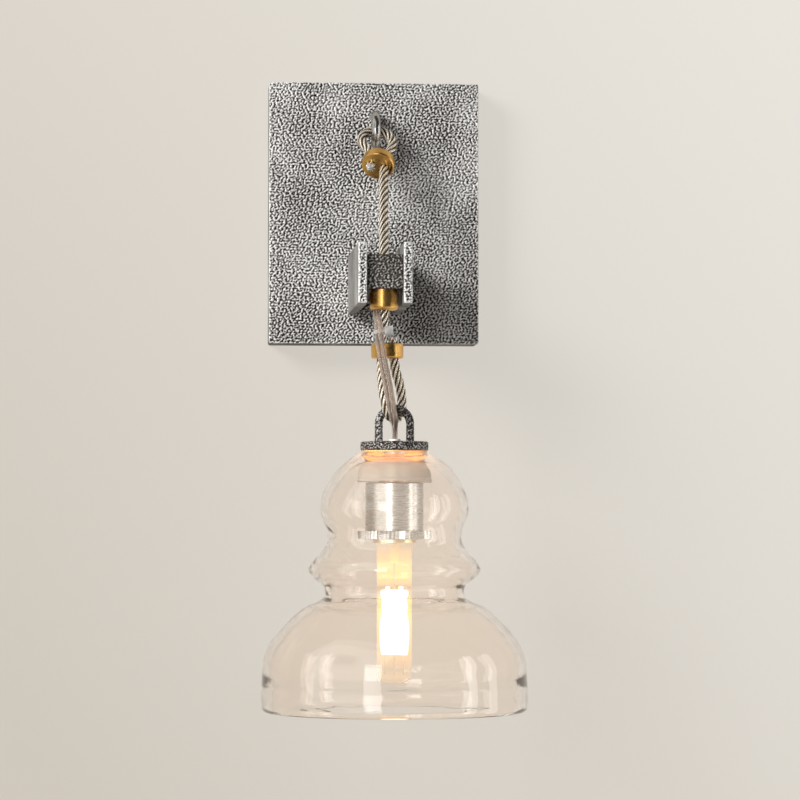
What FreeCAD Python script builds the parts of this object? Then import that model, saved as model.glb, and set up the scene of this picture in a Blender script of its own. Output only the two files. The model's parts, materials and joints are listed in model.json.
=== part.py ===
import FreeCAD, Part

# Wall sconce: a glass bell hung from a short arm by a looped steel rope.
# Millimetres. The origin is the middle of the back plate on the wall plane,
# the wall is the plane y = 0, the front faces -Y and +Z is up.

import math
import os

from FreeCAD import Vector

# General clearances
thread_gap = 0.1
slide_gap = 0.3
overrun = 1.0
same_place = 0.01

# Share of a run that its arcs take up
arc_share = 0.45

# Back plate, a shallow pan
plate_width = 133.0
plate_height = 166.0
plate_depth = 22.0
plate_front = 3.0
plate_side = 2.0
plate_corner = 2.5
plate_edge = 0.8

# Crossbar on the junction box
bar_height = 16.0
bar_thickness = 1.6
bar_slot_spacing = 88.9
bar_slot_length = 18.0
bar_slot_radius = 2.4
bar_ear_depth = 14.0
bar_wire_hole_radius = 5.0
grub_radius = 2.0
grub_length = 6.5
grub_depth = 8.0
ground_screw_radius = 2.0
ground_head_radius = 4.0
ground_head_height = 2.5
ground_slot_half_width = 0.4
ground_screw_x = 15.0

# Arm: two cheeks with a hollow block between them
arm_reach = 122.0
cheek_thickness = 5.5
cheek_height = 37.2
cheek_centre_z = -45.8
cheek_edge = 0.9
block_width = 22.0
block_height = 21.0
block_centre_z = -44.9
block_recess = 4.0
block_edge = 0.8
block_side_wall = 3.0
block_top_wall = 4.0
block_front_wall = 4.5
drop_inset = 13.0
rope_slot_clear = 5.0
rope_slot_ahead = 0.6

# Plate and screws that hold the arm from inside the pan
backing_width = 38.0
backing_height = 42.0
backing_thickness = 3.0
arm_screw_radius = 1.5
arm_screw_clearance = 0.2
arm_screw_grip = 14.0
arm_screw_head_radius = 3.0
arm_screw_head_height = 2.2
arm_screw_half_spacing = 13.0

# Ring on the plate that the rope hangs from
eye_z = 51.0
eye_radius = 10.2
eye_bar_radius = 3.0
eye_neck = 7.5
eye_tail = 10.0
eye_hole_gap = 0.2
washer_radius = 5.5
washer_thickness = 1.0
nut_across_flats = 8.0
nut_height = 4.0

# Steel rope and its two ferrules
rope_radius = 2.9
rope_slot_gap = 1.0
ferrule_radius = 9.75
ferrule_height = 9.1
ferrule_edge = 1.2
ferrule_hole_gap = 0.3
upper_ferrule_radius = 10.3
upper_ferrule_height = 6.4
upper_ferrule_x = 0.5
upper_ferrule_y = -53.2
upper_ferrule_z = 28.0
upper_ferrule_hole_x = 4.1
upper_ferrule_pitch = 44.0
upper_ferrule_roll = 14.0
lower_ferrule_x = 2.1
lower_ferrule_behind = 1.5
lower_ferrule_top_z = -87.8
main_hole_x = -1.7
end_hole_x = 5.9
end_hole_behind = 3.0

# Bushing under the arm
bushing_radius = 8.75
bushing_height = 12.4
bushing_edge = 2.2
bushing_neck = 1.8
spigot_radius = 8.0
rope_bore_gap = 0.45
rope_mouth_radius = 4.7
rope_mouth_depth = 5.2
lead_bore_x = -5.2
lead_bore_ahead = 1.5
lead_bore_radius = 2.4
bore_bridge_half_width = 1.4

# Clear lead
lead_radius = 2.1
lead_hole_radius = 3.0
core_radius = 0.9

# Cable tie
tie_z = -80.6
tie_height = 2.2
tie_thickness = 1.0
tie_gap = 0.4
tie_lead_x = -3.4
tie_lead_ahead = 4.5
tie_rope_x = -0.9
tie_head_width = 5.2
tie_head_depth = 4.2
tie_head_height = 5.7
tie_head_x = 2.5
tie_head_ahead = 5.4

# Shackle and cap
shade_x = 6.3
crown_z = -127.0
shackle_radius = 9.5
shackle_bar_radius = 2.5
shackle_thread = 4.4
cap_top_z = -147.2
cap_radius = 20.6
cap_height = 5.6
cap_edge = 1.2
lead_offset = 3.3
grommet_bore_radius = 2.3
grommet_radius = 2.9
grommet_flange_radius = 3.4
grommet_flange_height = 1.3

# Threaded tube that clamps the shade
nipple_radius = 6.6
nipple_bore_radius = 5.7
nipple_grip = 2.8
nipple_bottom_z = -177.6
nipple_nut_across_flats = 18.0
nipple_nut_height = 3.5
gasket_radius = 19.4
gasket_thickness = 0.6

# Glass shade
glass_radius = 80.4
glass_height = 156.6
glass_wall = 4.4
glass_top_wall = 4.6
glass_hole_radius = 7.0
glass_flat_radius = 14.0
rim_band = 6.6
rim_band_height = 15.0
rim_round = 3.3
rim_step = 1.6

# Frosted collar, spacer, aluminium cup and ribbed ring
collar_top_radius = 14.5
collar_radius = 22.3
collar_height = 13.2
collar_wall = 1.8
collar_gap = 0.3
spacer_radius = 9.0
cup_top_z = -172.0
cup_radius = 17.5
cup_height = 29.0
cup_wall = 1.2
cup_edge = 1.0
ring_radius = 22.3
ring_height = 5.0
ring_ridges = 60
ring_ridge_depth = 0.5

# Socket
socket_top_z = -180.0
socket_radius = 15.8
socket_height = 26.6
socket_roof = 6.0
shell_radius = 13.7
shell_wall = 0.35
shell_height = 17.0
contact_radius = 3.5
contact_thickness = 1.2
terminal_radius = 2.0
terminal_height = 2.2
terminal_x = 10.5

# Bulb
bulb_tip_radius = 3.0
bulb_tip_height = 1.0
bulb_insulator_height = 5.0
bulb_insulator_top_radius = 5.0
bulb_cap_radius = 13.0
bulb_cap_wall = 0.5
bulb_cap_height = 15.5
bulb_skirt_radius = 12.2
bulb_skirt_height = 9.0
bulb_radius = 10.6
bulb_wall = 0.8
bulb_shoulder = 8.0
bulb_bottom_z = -297.0
stem_radius = 4.2
stem_height = 26.0
filament_radius = 0.9
filament_top_z = -234.0
filament_length = 40.0
filament_circle = 5.6
filament_count = 4
support_wire_radius = 0.35
support_wire_bottom_z = -288.0

# Wire connectors inside the pan
connector_radius = 4.6
connector_tip_radius = 3.0
connector_bottom_z = -24.0
connector_height = 13.5
connector_hole_radius = 1.7
connector_hole_depth = 9.0
connector_y = -9.6
connector_xs = (-12.0, 3.0)

# Outer outline of the glass, top to rim: shares of its radius and of its height
glass_outer_shares = (
    (0.258, 0.0), (0.348, 0.031), (0.423, 0.063), (0.488, 0.109), (0.541, 0.165),
    (0.558, 0.220), (0.540, 0.259), (0.508, 0.302), (0.505, 0.344), (0.524, 0.367),
    (0.561, 0.392), (0.613, 0.421), (0.645, 0.448), (0.632, 0.470), (0.591, 0.491),
    (0.536, 0.515), (0.521, 0.540), (0.534, 0.561), (0.585, 0.579), (0.688, 0.603),
    (0.825, 0.667), (0.924, 0.728), (0.978, 0.787), (0.994, 0.859), (1.0, 0.930),
    (0.997, 0.975),
)
# Inner outline, rim band to top: shares of the inner radius and of the height
glass_inner_shares = (
    (0.994, 0.860), (0.979, 0.802), (0.925, 0.744), (0.822, 0.684), (0.697, 0.628),
    (0.580, 0.592), (0.520, 0.572), (0.499, 0.548), (0.505, 0.520), (0.545, 0.497),
    (0.588, 0.474), (0.604, 0.449), (0.578, 0.425), (0.530, 0.402), (0.490, 0.373),
    (0.476, 0.344), (0.480, 0.303), (0.512, 0.262), (0.530, 0.221), (0.514, 0.176),
    (0.460, 0.126), (0.396, 0.085), (0.326, 0.057), (0.245, 0.037),
)

# Height at which the upper rope turns down into the bushing
rope_bend_z = -45.0

# Stops of the rope from its dead end, round the eye and back out of its ferrule.
# A stop may carry the radius of what the rope goes round.
eye_loop_stops = (
    (-4.6, -57.8, 24.4), (-2.1, -47.6, 34.6, 8.0), (-10.6, -40.2, 43.4), (-5.3, -33.4, 51.0),
    (5.3, -33.4, 51.0), (12.0, -39.9, 43.0), (5.6, -48.6, 31.6, 10.0), (3.4, -57.6, 22.5, 15.0),
)
# The stops below are placed from the drop axis: y is 0 on it.
# Upper rope where it turns down into the bushing
bushing_stops = ((0.0, 0.0, rope_bend_z, 27.0), (0.0, 0.0, -58.9))
# Rope below the bushing, round the shackle and back to its dead end
lower_rope_stops = (
    (0.0, 0.0, -62.0), (0.0, 0.0, -74.5), (-1.7, 0.0, -85.5), (-1.7, 0.0, -101.0),
    (-1.5, -6.2, -115.0), (0.6, -8.3, -126.7), (3.7, -3.7, -133.6), (8.7, 3.7, -133.6),
    (11.8, 8.3, -126.7), (10.6, 6.4, -113.5), (5.9, 3.0, -101.0), (5.9, 3.0, -83.6),
)
# Clear lead: in the arm's front, from the bushing past the tie, on to the cap, inside the shade
lead_in_arm_stops = ((-5.2, -1.5, -58.9), (-5.2, -1.5, -44.9, 6.0), (-4.9, 43.0, -45.2))
lead_upper_stops = (
    (-5.2, -1.5, -59.2), (-5.2, -1.5, -70.6), (-3.5, -4.2, -76.0), (-3.4, -4.6, -84.0, 6.0),
    (-3.0, -11.9, -89.2), (-1.8, -12.1, -97.5),
)
lead_lower_stops = (
    (-1.7, -12.1, -97.7), (0.0, -12.3, -107.0), (1.9, -12.5, -116.5), (3.3, -12.4, -125.5),
    (5.2, -11.3, -133.5), (6.3, -3.5, -140.4, 6.0), (6.3, -3.3, -147.4),
)
lead_in_shade_stops = (
    (6.3, -3.3, -147.6), (6.3, -3.3, -158.0), (6.5, -0.4, -168.5), (6.3, 0.0, -179.5),
)
# The next stops and routes stay at the wall: the lead's way into the pan, and its two cores
lead_in_pan_stops = ((-5.2, -10.0, -44.9, 5.5), (-5.2, -10.0, -33.5))
core_routes = (
    ((-6.2, -10.0, -33.3), (-6.9, -9.9, -30.4), (-11.5, -9.6, -27.4), (-12.0, -9.6, -17.0)),
    ((-4.2, -10.0, -33.3), (-3.7, -9.9, -30.4), (2.5, -9.6, -27.4), (3.0, -9.6, -17.0)),
)

os.makedirs("parts", exist_ok=True)


def hung(stops):
    """Stops placed from the drop axis, moved to where the arm's reach puts it."""
    return tuple((stop[0], stop[1] + drop_y) + stop[2:] for stop in stops)


def post(radius, bottom, top, x, y):
    """A round post along Z."""
    return Part.makeCylinder(radius, top - bottom, Vector(x, y, bottom))


def peg(radius, back, front, x, z):
    """A round peg along Y, where front is the smaller y."""
    return Part.makeCylinder(radius, back - front, Vector(x, back, z), Vector(0, -1, 0))


def slab(x_low, x_high, y_low, y_high, z_low, z_high):
    """A box between two corners."""
    return Part.makeBox(x_high - x_low, y_high - y_low, z_high - z_low, Vector(x_low, y_low, z_low))


def hex_prism(across_flats, height, base, direction):
    """A hexagonal prism that stands on base and grows along direction, and lies flat in the plane."""
    radius = across_flats / math.sqrt(3)
    side = Vector(1, 0, 0)
    other = direction.cross(side)
    corners = []
    for k in range(6):
        turn = math.radians(60 * k)
        corners.append(base + side * (radius * math.cos(turn)) + other * (radius * math.sin(turn)))
    outline = Part.makePolygon(corners + [corners[0]])
    return Part.Face(outline).extrude(direction * height)


def lathe(outline, x, y):
    """A solid of revolution about a vertical axis, from a closed list of radius and height."""
    points = [Vector(radius, 0, height) for radius, height in outline]
    face = Part.Face(Part.makePolygon(points + [points[0]]))
    solid = face.revolve(Vector(0, 0, 0), Vector(0, 0, 1), 360)
    solid.translate(Vector(x, y, 0))
    return solid


def tube(bore, radius, bottom, top, x, y):
    """A round tube along Z."""
    outer = post(radius, bottom, top, x, y)
    return outer.cut(post(bore, bottom - overrun, top + overrun, x, y))


def edges_along(shape, direction):
    """The straight edges of a shape that run along a direction."""
    found = []
    for edge in shape.Edges:
        if isinstance(edge.Curve, Part.Line) and abs(edge.Curve.Direction.dot(direction)) > 0.999:
            found.append(edge)
    return found


def circles_at(shape, radius, axis):
    """The round edges of a given radius about a given axis direction."""
    found = []
    for edge in shape.Edges:
        if isinstance(edge.Curve, Part.Circle) and abs(edge.Curve.Radius - radius) < same_place:
            if abs(edge.Curve.Axis.dot(axis)) > 0.999:
                found.append(edge)
    return found


def route_path(route, name):
    """A wire of straight runs joined by tangent arcs, with each arc's radius printed."""
    points = [Vector(*stop[:3]) for stop in route]
    edges = []
    start = points[0]
    radii = []
    for k in range(1, len(points) - 1):
        back = points[k - 1] - points[k]
        ahead = points[k + 1] - points[k]
        shorter = min(back.Length, ahead.Length)
        back.normalize()
        ahead.normalize()
        half_turn = (math.pi - back.getAngle(ahead)) / 2
        if len(route[k]) > 3:
            radius = route[k][3]
        else:
            radius = arc_share * shorter / math.tan(half_turn)
        reach = radius * math.tan(half_turn)
        into = points[k] + back * reach
        out = points[k] + ahead * reach
        inward = back + ahead
        inward.normalize()
        middle = points[k] + inward * (radius / math.cos(half_turn) - radius)
        edges.append(Part.LineSegment(start, into).toShape())
        edges.append(Part.Arc(into, middle, out).toShape())
        start = out
        radii.append(round(radius, 1))
    edges.append(Part.LineSegment(start, points[-1]).toShape())
    print(name, "radii", radii)
    return Part.Wire(edges)


def route_tube(route, radius, name):
    """A round tube along a route, with its volume set against its section times its length."""
    path = route_path(route, name)
    first = Vector(*route[0][:3])
    heading = Vector(*route[1][:3]) - first
    section = Part.Wire(Part.makeCircle(radius, first, heading))
    solid = path.makePipeShell([section], True, False)
    expected = math.pi * radius * radius * path.Length
    print(name, "length", round(path.Length, 1), "volume share", round(solid.Volume / expected, 4))
    return solid


def belt(first, first_radius, second, second_radius, bottom, top):
    """A solid round two circles and the space between their outer tangents."""
    apart = second - first
    gap = apart.Length
    along = Vector(apart.x / gap, apart.y / gap, 0)
    across = Vector(-along.y, along.x, 0)
    lean = math.asin((first_radius - second_radius) / gap)
    corners = []
    for side in (1, -1):
        normal = along * math.sin(lean) + across * (side * math.cos(lean))
        pair = [first + normal * first_radius, second + normal * second_radius]
        corners += pair if side > 0 else pair[::-1]
    corners = [Vector(corner.x, corner.y, bottom) for corner in corners]
    web = Part.Face(Part.makePolygon(corners + [corners[0]])).extrude(Vector(0, 0, top - bottom))
    solid = web.fuse(post(first_radius, bottom, top, first.x, first.y))
    return solid.fuse(post(second_radius, bottom, top, second.x, second.y)).removeSplitter()


def save(name, *shapes):
    """Write one node, checked, as a solid or a group of separate solids."""
    shape = shapes[0] if len(shapes) == 1 else Part.makeCompound(list(shapes))
    solids = len(shape.Solids)
    if not shape.isValid() or solids != len(shapes):
        print("CHECK", name, "valid", shape.isValid(), "solids", solids, "wanted", len(shapes))
    if solids == 1 and not isinstance(shape, Part.Solid):
        shape = shape.Solids[0]
    shape.exportStep(f"parts/{name}.step")


cap_bottom_z = cap_top_z - cap_height
glass_top_z = cap_bottom_z - gasket_thickness
plate_front_y = -plate_depth
pan_floor_y = plate_front_y + plate_front
drop_y = drop_inset - arm_reach
upper_rope_route = eye_loop_stops + hung(bushing_stops)
lower_rope_route = hung(lower_rope_stops)
lead_in_arm_route = hung(lead_in_arm_stops) + lead_in_pan_stops
lead_upper_route = hung(lead_upper_stops)
lead_lower_route = hung(lead_lower_stops)
lead_in_shade_route = hung(lead_in_shade_stops)
rope_leave_y, rope_leave_z = eye_loop_stops[-1][1:3]
rope_lean = (rope_leave_y - drop_y) / (rope_leave_z - rope_bend_z)
lead_bore_y = drop_y - lead_bore_ahead
inner_half_width = plate_width / 2 - plate_side
arm_top_z = cheek_centre_z + cheek_height / 2
arm_bottom_z = cheek_centre_z - cheek_height / 2
cheek_middle_x = block_width / 2 + cheek_thickness / 2
arm_screw_places = [
    (side * cheek_middle_x, cheek_centre_z + rise * arm_screw_half_spacing)
    for side in (-1, 1)
    for rise in (-1, 1)
]
lead_hole_z = block_centre_z
block_top_z = block_centre_z + block_height / 2
block_bottom_z = block_centre_z - block_height / 2
block_front_y = block_recess - arm_reach
backing_back_y = pan_floor_y + backing_thickness
eye_leg_zs = (eye_z + eye_radius, eye_z - eye_radius)
eye_ring_y = plate_front_y - eye_neck
ear_outer_x = inner_half_width - slide_gap


def make_backplate():
    """The pan: hollow and open at the back, with holes for the eye, the arm, the lead and the grubs."""
    half_width = plate_width / 2
    half_height = plate_height / 2
    pan = slab(-half_width, half_width, plate_front_y, 0, -half_height, half_height)
    pan = pan.makeFillet(plate_corner, edges_along(pan, Vector(0, 1, 0)))
    front_edges = [edge for edge in pan.Edges if abs(edge.CenterOfMass.y - plate_front_y) < same_place]
    pan = pan.makeFillet(plate_edge, front_edges)
    hollow = slab(
        -inner_half_width, inner_half_width, pan_floor_y, overrun,
        plate_side - half_height, half_height - plate_side,
    )
    pan = pan.cut(hollow)
    front, back = plate_front_y - overrun, pan_floor_y + overrun
    for z in eye_leg_zs:
        pan = pan.cut(peg(eye_bar_radius + eye_hole_gap, back, front, 0, z))
    for x, z in arm_screw_places:
        pan = pan.cut(peg(arm_screw_radius + arm_screw_clearance, back, front, x, z))
    pan = pan.cut(peg(lead_hole_radius, back, front, lead_bore_x, lead_hole_z))
    for side in (-1, 1):
        start = Vector(side * (inner_half_width - overrun), -grub_depth, 0)
        hole = Part.makeCylinder(
            grub_radius + thread_gap, plate_side + overrun * 2, start, Vector(side, 0, 0)
        )
        pan = pan.cut(hole)
    save("backplate", pan)


def make_crossbar():
    """The slotted strap with an ear bent forward at each end, and its screws."""
    half_height = bar_height / 2
    strap = slab(-ear_outer_x, ear_outer_x, -bar_thickness, 0, -half_height, half_height)
    for side in (-1, 1):
        inner = side * (ear_outer_x - bar_thickness)
        outer = side * ear_outer_x
        ear = slab(
            min(inner, outer), max(inner, outer), -bar_ear_depth, -bar_thickness, -half_height, half_height
        )
        strap = strap.fuse(ear)
    strap = strap.removeSplitter()
    slot_reach = bar_slot_length / 2 - bar_slot_radius
    for side in (-1, 1):
        middle = side * bar_slot_spacing / 2
        for end in (-1, 1):
            strap = strap.cut(
                peg(bar_slot_radius, overrun, -bar_thickness - overrun, middle + end * slot_reach, 0)
            )
        strap = strap.cut(
            slab(
                middle - slot_reach, middle + slot_reach, -bar_thickness - overrun, overrun,
                -bar_slot_radius, bar_slot_radius,
            )
        )
        tapped = Part.makeCylinder(
            grub_radius, bar_thickness + overrun * 2,
            Vector(side * (ear_outer_x - bar_thickness - overrun), -grub_depth, 0), Vector(side, 0, 0),
        )
        strap = strap.cut(tapped)
    strap = strap.cut(peg(bar_wire_hole_radius, overrun, -bar_thickness - overrun, 0, 0))
    strap = strap.cut(
        peg(ground_screw_radius + thread_gap, overrun, -bar_thickness - overrun, ground_screw_x, 0)
    )
    save("crossbar", strap)

    grubs = []
    for side in (-1, 1):
        tail = side * (plate_width / 2 - thread_gap - grub_length)
        grubs.append(
            Part.makeCylinder(
                grub_radius - thread_gap, grub_length, Vector(tail, -grub_depth, 0), Vector(side, 0, 0)
            )
        )
    save("side_grub_screws", *grubs)

    head_front = -bar_thickness - ground_head_height
    screw = peg(ground_head_radius, -bar_thickness, head_front, ground_screw_x, 0)
    screw = screw.fuse(peg(ground_screw_radius, -thread_gap, -bar_thickness, ground_screw_x, 0))
    slot = slab(
        ground_screw_x - ground_head_radius, ground_screw_x + ground_head_radius,
        head_front, head_front + ground_head_height / 2, -ground_slot_half_width, ground_slot_half_width,
    )
    save("ground_screw", screw.cut(slot))


def make_arm():
    """Cheeks, hollow block, backing plate and the screws that hold them."""
    for side, name in ((-1, "arm_left_cheek"), (1, "arm_right_cheek")):
        near = side * block_width / 2
        far = side * (block_width / 2 + cheek_thickness)
        cheek = slab(min(near, far), max(near, far), -arm_reach, plate_front_y, arm_bottom_z, arm_top_z)
        cheek = cheek.makeFillet(
            cheek_edge,
            [edge for edge in cheek.Edges if edge.CenterOfMass.y < plate_front_y - same_place],
        )
        for x, z in arm_screw_places:
            if x * side > 0:
                hole_end = plate_front_y - arm_screw_grip - overrun
                cheek = cheek.cut(peg(arm_screw_radius + thread_gap, plate_front_y + overrun, hole_end, x, z))
        save(name, cheek)

    half_width = block_width / 2
    block = slab(-half_width, half_width, block_front_y, plate_front_y, block_bottom_z, block_top_z)
    front_edges = [edge for edge in block.Edges if abs(edge.CenterOfMass.y - block_front_y) < same_place]
    block = block.makeFillet(block_edge, front_edges)
    bore_half_width = half_width - block_side_wall
    bore = slab(
        -bore_half_width, bore_half_width, block_front_y + block_front_wall, plate_front_y + overrun,
        block_bottom_z + block_top_wall, block_top_z - block_top_wall,
    )
    block = block.cut(bore)
    slot_half_width = rope_radius + rope_slot_gap
    slot_front_y = drop_y - rope_slot_ahead + slot_half_width
    slot_back_y = drop_y + (block_top_z - rope_bend_z) * rope_lean + rope_slot_clear - slot_half_width
    slot = slab(
        -slot_half_width, slot_half_width, slot_front_y, slot_back_y, block_centre_z, block_top_z + overrun
    )
    for y in (slot_front_y, slot_back_y):
        slot = slot.fuse(post(slot_half_width, block_centre_z, block_top_z + overrun, 0, y))
    block = block.cut(slot)
    block = block.cut(
        post(spigot_radius + thread_gap, block_bottom_z - overrun, block_centre_z, 0, drop_y)
    )
    save("arm_block", block)

    backing = slab(
        -backing_width / 2, backing_width / 2, pan_floor_y, backing_back_y,
        cheek_centre_z - backing_height / 2, cheek_centre_z + backing_height / 2,
    )
    back, front = backing_back_y + overrun, pan_floor_y - overrun
    for x, z in arm_screw_places:
        backing = backing.cut(peg(arm_screw_radius + arm_screw_clearance, back, front, x, z))
    backing = backing.cut(peg(lead_hole_radius, back, front, lead_bore_x, lead_hole_z))
    save("arm_backing_plate", backing)

    screws = []
    for x, z in arm_screw_places:
        shank = peg(arm_screw_radius, backing_back_y, plate_front_y - arm_screw_grip, x, z)
        head = peg(arm_screw_head_radius, backing_back_y + arm_screw_head_height, backing_back_y, x, z)
        screws.append(shank.fuse(head))
    save("arm_screws", *screws)


def make_eye():
    """The ring on the plate, bent from bar, with washers and nuts on its threaded legs."""
    top, bottom = eye_leg_zs
    tail_y = pan_floor_y + eye_tail
    front_y = eye_ring_y - eye_radius
    path = Part.Wire([
        Part.LineSegment(Vector(0, tail_y, top), Vector(0, eye_ring_y, top)).toShape(),
        Part.Arc(
            Vector(0, eye_ring_y, top), Vector(0, front_y, eye_z), Vector(0, eye_ring_y, bottom)
        ).toShape(),
        Part.LineSegment(Vector(0, eye_ring_y, bottom), Vector(0, tail_y, bottom)).toShape(),
    ])
    section = Part.Wire(Part.makeCircle(eye_bar_radius, Vector(0, tail_y, top), Vector(0, -1, 0)))
    save("eye_staple", path.makePipeShell([section], True, False))

    washers = []
    nuts = []
    washer_back = pan_floor_y + washer_thickness
    for z in eye_leg_zs:
        washer = peg(washer_radius, washer_back, pan_floor_y, 0, z)
        hole = peg(eye_bar_radius + thread_gap, washer_back + nut_height + overrun, plate_front_y, 0, z)
        washers.append(washer.cut(hole))
        nut = hex_prism(nut_across_flats, nut_height, Vector(0, washer_back, z), Vector(0, 1, 0))
        nuts.append(nut.cut(hole))
    save("eye_washers", *washers)
    save("eye_nuts", *nuts)


def make_bushing():
    """The brass bushing under the arm: a bore for the rope that opens downwards, and one for the lead."""
    top = block_bottom_z
    bottom = top - bushing_height
    body = post(bushing_radius, bottom, top - bushing_neck, 0, drop_y)
    rims = circles_at(body, bushing_radius, Vector(0, 0, 1))
    body = body.makeFillet(bushing_edge, [rim for rim in rims if rim.CenterOfMass.z < bottom + same_place])
    neck_low = top - bushing_neck - thread_gap
    body = body.fuse(post(spigot_radius, neck_low, top + block_top_wall, 0, drop_y)).removeSplitter()
    low, high = bottom - overrun, top + block_top_wall + overrun
    body = body.cut(post(rope_radius + rope_bore_gap, low, high, 0, drop_y))
    body = body.cut(post(lead_bore_radius, low, high, lead_bore_x, lead_bore_y))
    bridge = slab(lead_bore_x, 0, -bore_bridge_half_width, bore_bridge_half_width, low, high)
    bridge.translate(Vector(0, (drop_y + lead_bore_y) / 2, 0))
    body = body.cut(bridge)
    mouth = Part.makeCone(
        rope_mouth_radius, rope_radius + rope_bore_gap, rope_mouth_depth, Vector(0, drop_y, bottom)
    )
    body = body.cut(mouth)
    save("outlet_bushing", body)


def make_ferrules():
    """Two brass ferrules, each a short round bar with two holes for the rope."""
    hole_radius = rope_radius + ferrule_hole_gap
    half = upper_ferrule_height / 2
    upper = post(upper_ferrule_radius, -half, half, 0, 0)
    upper = upper.makeFillet(ferrule_edge, circles_at(upper, upper_ferrule_radius, Vector(0, 0, 1)))
    for side in (-1, 1):
        upper = upper.cut(post(hole_radius, -half - overrun, half + overrun, side * upper_ferrule_hole_x, 0))
    upper.rotate(Vector(0, 0, 0), Vector(1, 0, 0), -upper_ferrule_pitch)
    upper.rotate(Vector(0, 0, 0), Vector(0, 1, 0), upper_ferrule_roll)
    upper.translate(Vector(upper_ferrule_x, upper_ferrule_y, upper_ferrule_z))
    save("upper_ferrule", upper)

    top = lower_ferrule_top_z
    lower = post(ferrule_radius, top - ferrule_height, top, lower_ferrule_x, drop_y + lower_ferrule_behind)
    lower = lower.makeFillet(ferrule_edge, circles_at(lower, ferrule_radius, Vector(0, 0, 1)))
    for x, y in ((main_hole_x, drop_y), (end_hole_x, drop_y + end_hole_behind)):
        lower = lower.cut(post(hole_radius, top - ferrule_height - overrun, top + overrun, x, y))
    save("lower_ferrule", lower)


def make_ropes():
    """The steel rope, in two lengths that part inside the bushing."""
    save("steel_rope_upper", route_tube(upper_rope_route, rope_radius, "steel_rope_upper"))
    lower = route_tube(lower_rope_route, rope_radius, "steel_rope_lower")
    lower = lower.fuse(Part.makeSphere(rope_radius, Vector(*lower_rope_route[0]))).removeSplitter()
    save("steel_rope_lower", lower)


def make_leads():
    """The clear lead in its four stretches, and its two cores inside the pan."""
    save("lead_in_arm", route_tube(lead_in_arm_route, lead_radius, "lead_in_arm"))
    save("lead_upper", route_tube(lead_upper_route, lead_radius, "lead_upper"))
    save("lead_lower", route_tube(lead_lower_route, lead_radius, "lead_lower"))
    save("lead_in_shade", route_tube(lead_in_shade_route, lead_radius, "lead_in_shade"))
    cores = [route_tube(route, core_radius, "core") for route in core_routes]
    save("lead_tails", *cores)


def make_connectors():
    """Twist-on caps over the ends of the two cores."""
    caps = []
    for x in connector_xs:
        cap = Part.makeCone(
            connector_radius, connector_tip_radius, connector_height,
            Vector(x, connector_y, connector_bottom_z),
        )
        hole_low = connector_bottom_z - overrun
        hole_high = connector_bottom_z + connector_hole_depth
        hole = post(connector_hole_radius, hole_low, hole_high, x, connector_y)
        caps.append(cap.cut(hole))
    save("wire_connectors", *caps)


def make_tie():
    """The clear tie round rope and lead, with its square head in front."""
    bottom = tie_z - tie_height / 2
    top = tie_z + tie_height / 2
    rope_place = Vector(tie_rope_x, drop_y, 0)
    lead_place = Vector(tie_lead_x, drop_y - tie_lead_ahead, 0)
    rope_inner = rope_radius + tie_gap
    lead_inner = lead_radius + tie_gap
    band = belt(
        rope_place, rope_inner + tie_thickness, lead_place, lead_inner + tie_thickness, bottom, top
    )
    half_width, half_depth = tie_head_width / 2, tie_head_depth / 2
    head_y = drop_y - tie_head_ahead
    head = slab(
        tie_head_x - half_width, tie_head_x + half_width, head_y - half_depth, head_y + half_depth,
        tie_z - tie_head_height / 2, tie_z + tie_head_height / 2,
    )
    opening = belt(rope_place, rope_inner, lead_place, lead_inner, bottom - overrun, top + overrun)
    wide_opening = belt(
        rope_place, rope_inner, lead_place, lead_inner, tie_z - tie_head_height, tie_z + tie_head_height
    )
    save("cable_tie", band.cut(opening).fuse(head.cut(wide_opening)).removeSplitter())


def make_shackle():
    """The U of round bar that stands in the cap."""
    shoulder_z = crown_z - shackle_radius
    foot_z = cap_top_z - shackle_thread
    left, right = shade_x - shackle_radius, shade_x + shackle_radius
    path = Part.Wire([
        Part.LineSegment(Vector(left, drop_y, foot_z), Vector(left, drop_y, shoulder_z)).toShape(),
        Part.Arc(
            Vector(left, drop_y, shoulder_z), Vector(shade_x, drop_y, crown_z),
            Vector(right, drop_y, shoulder_z),
        ).toShape(),
        Part.LineSegment(Vector(right, drop_y, shoulder_z), Vector(right, drop_y, foot_z)).toShape(),
    ])
    section = Part.Wire(Part.makeCircle(shackle_bar_radius, Vector(left, drop_y, foot_z), Vector(0, 0, 1)))
    save("shackle", path.makePipeShell([section], True, False))


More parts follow.
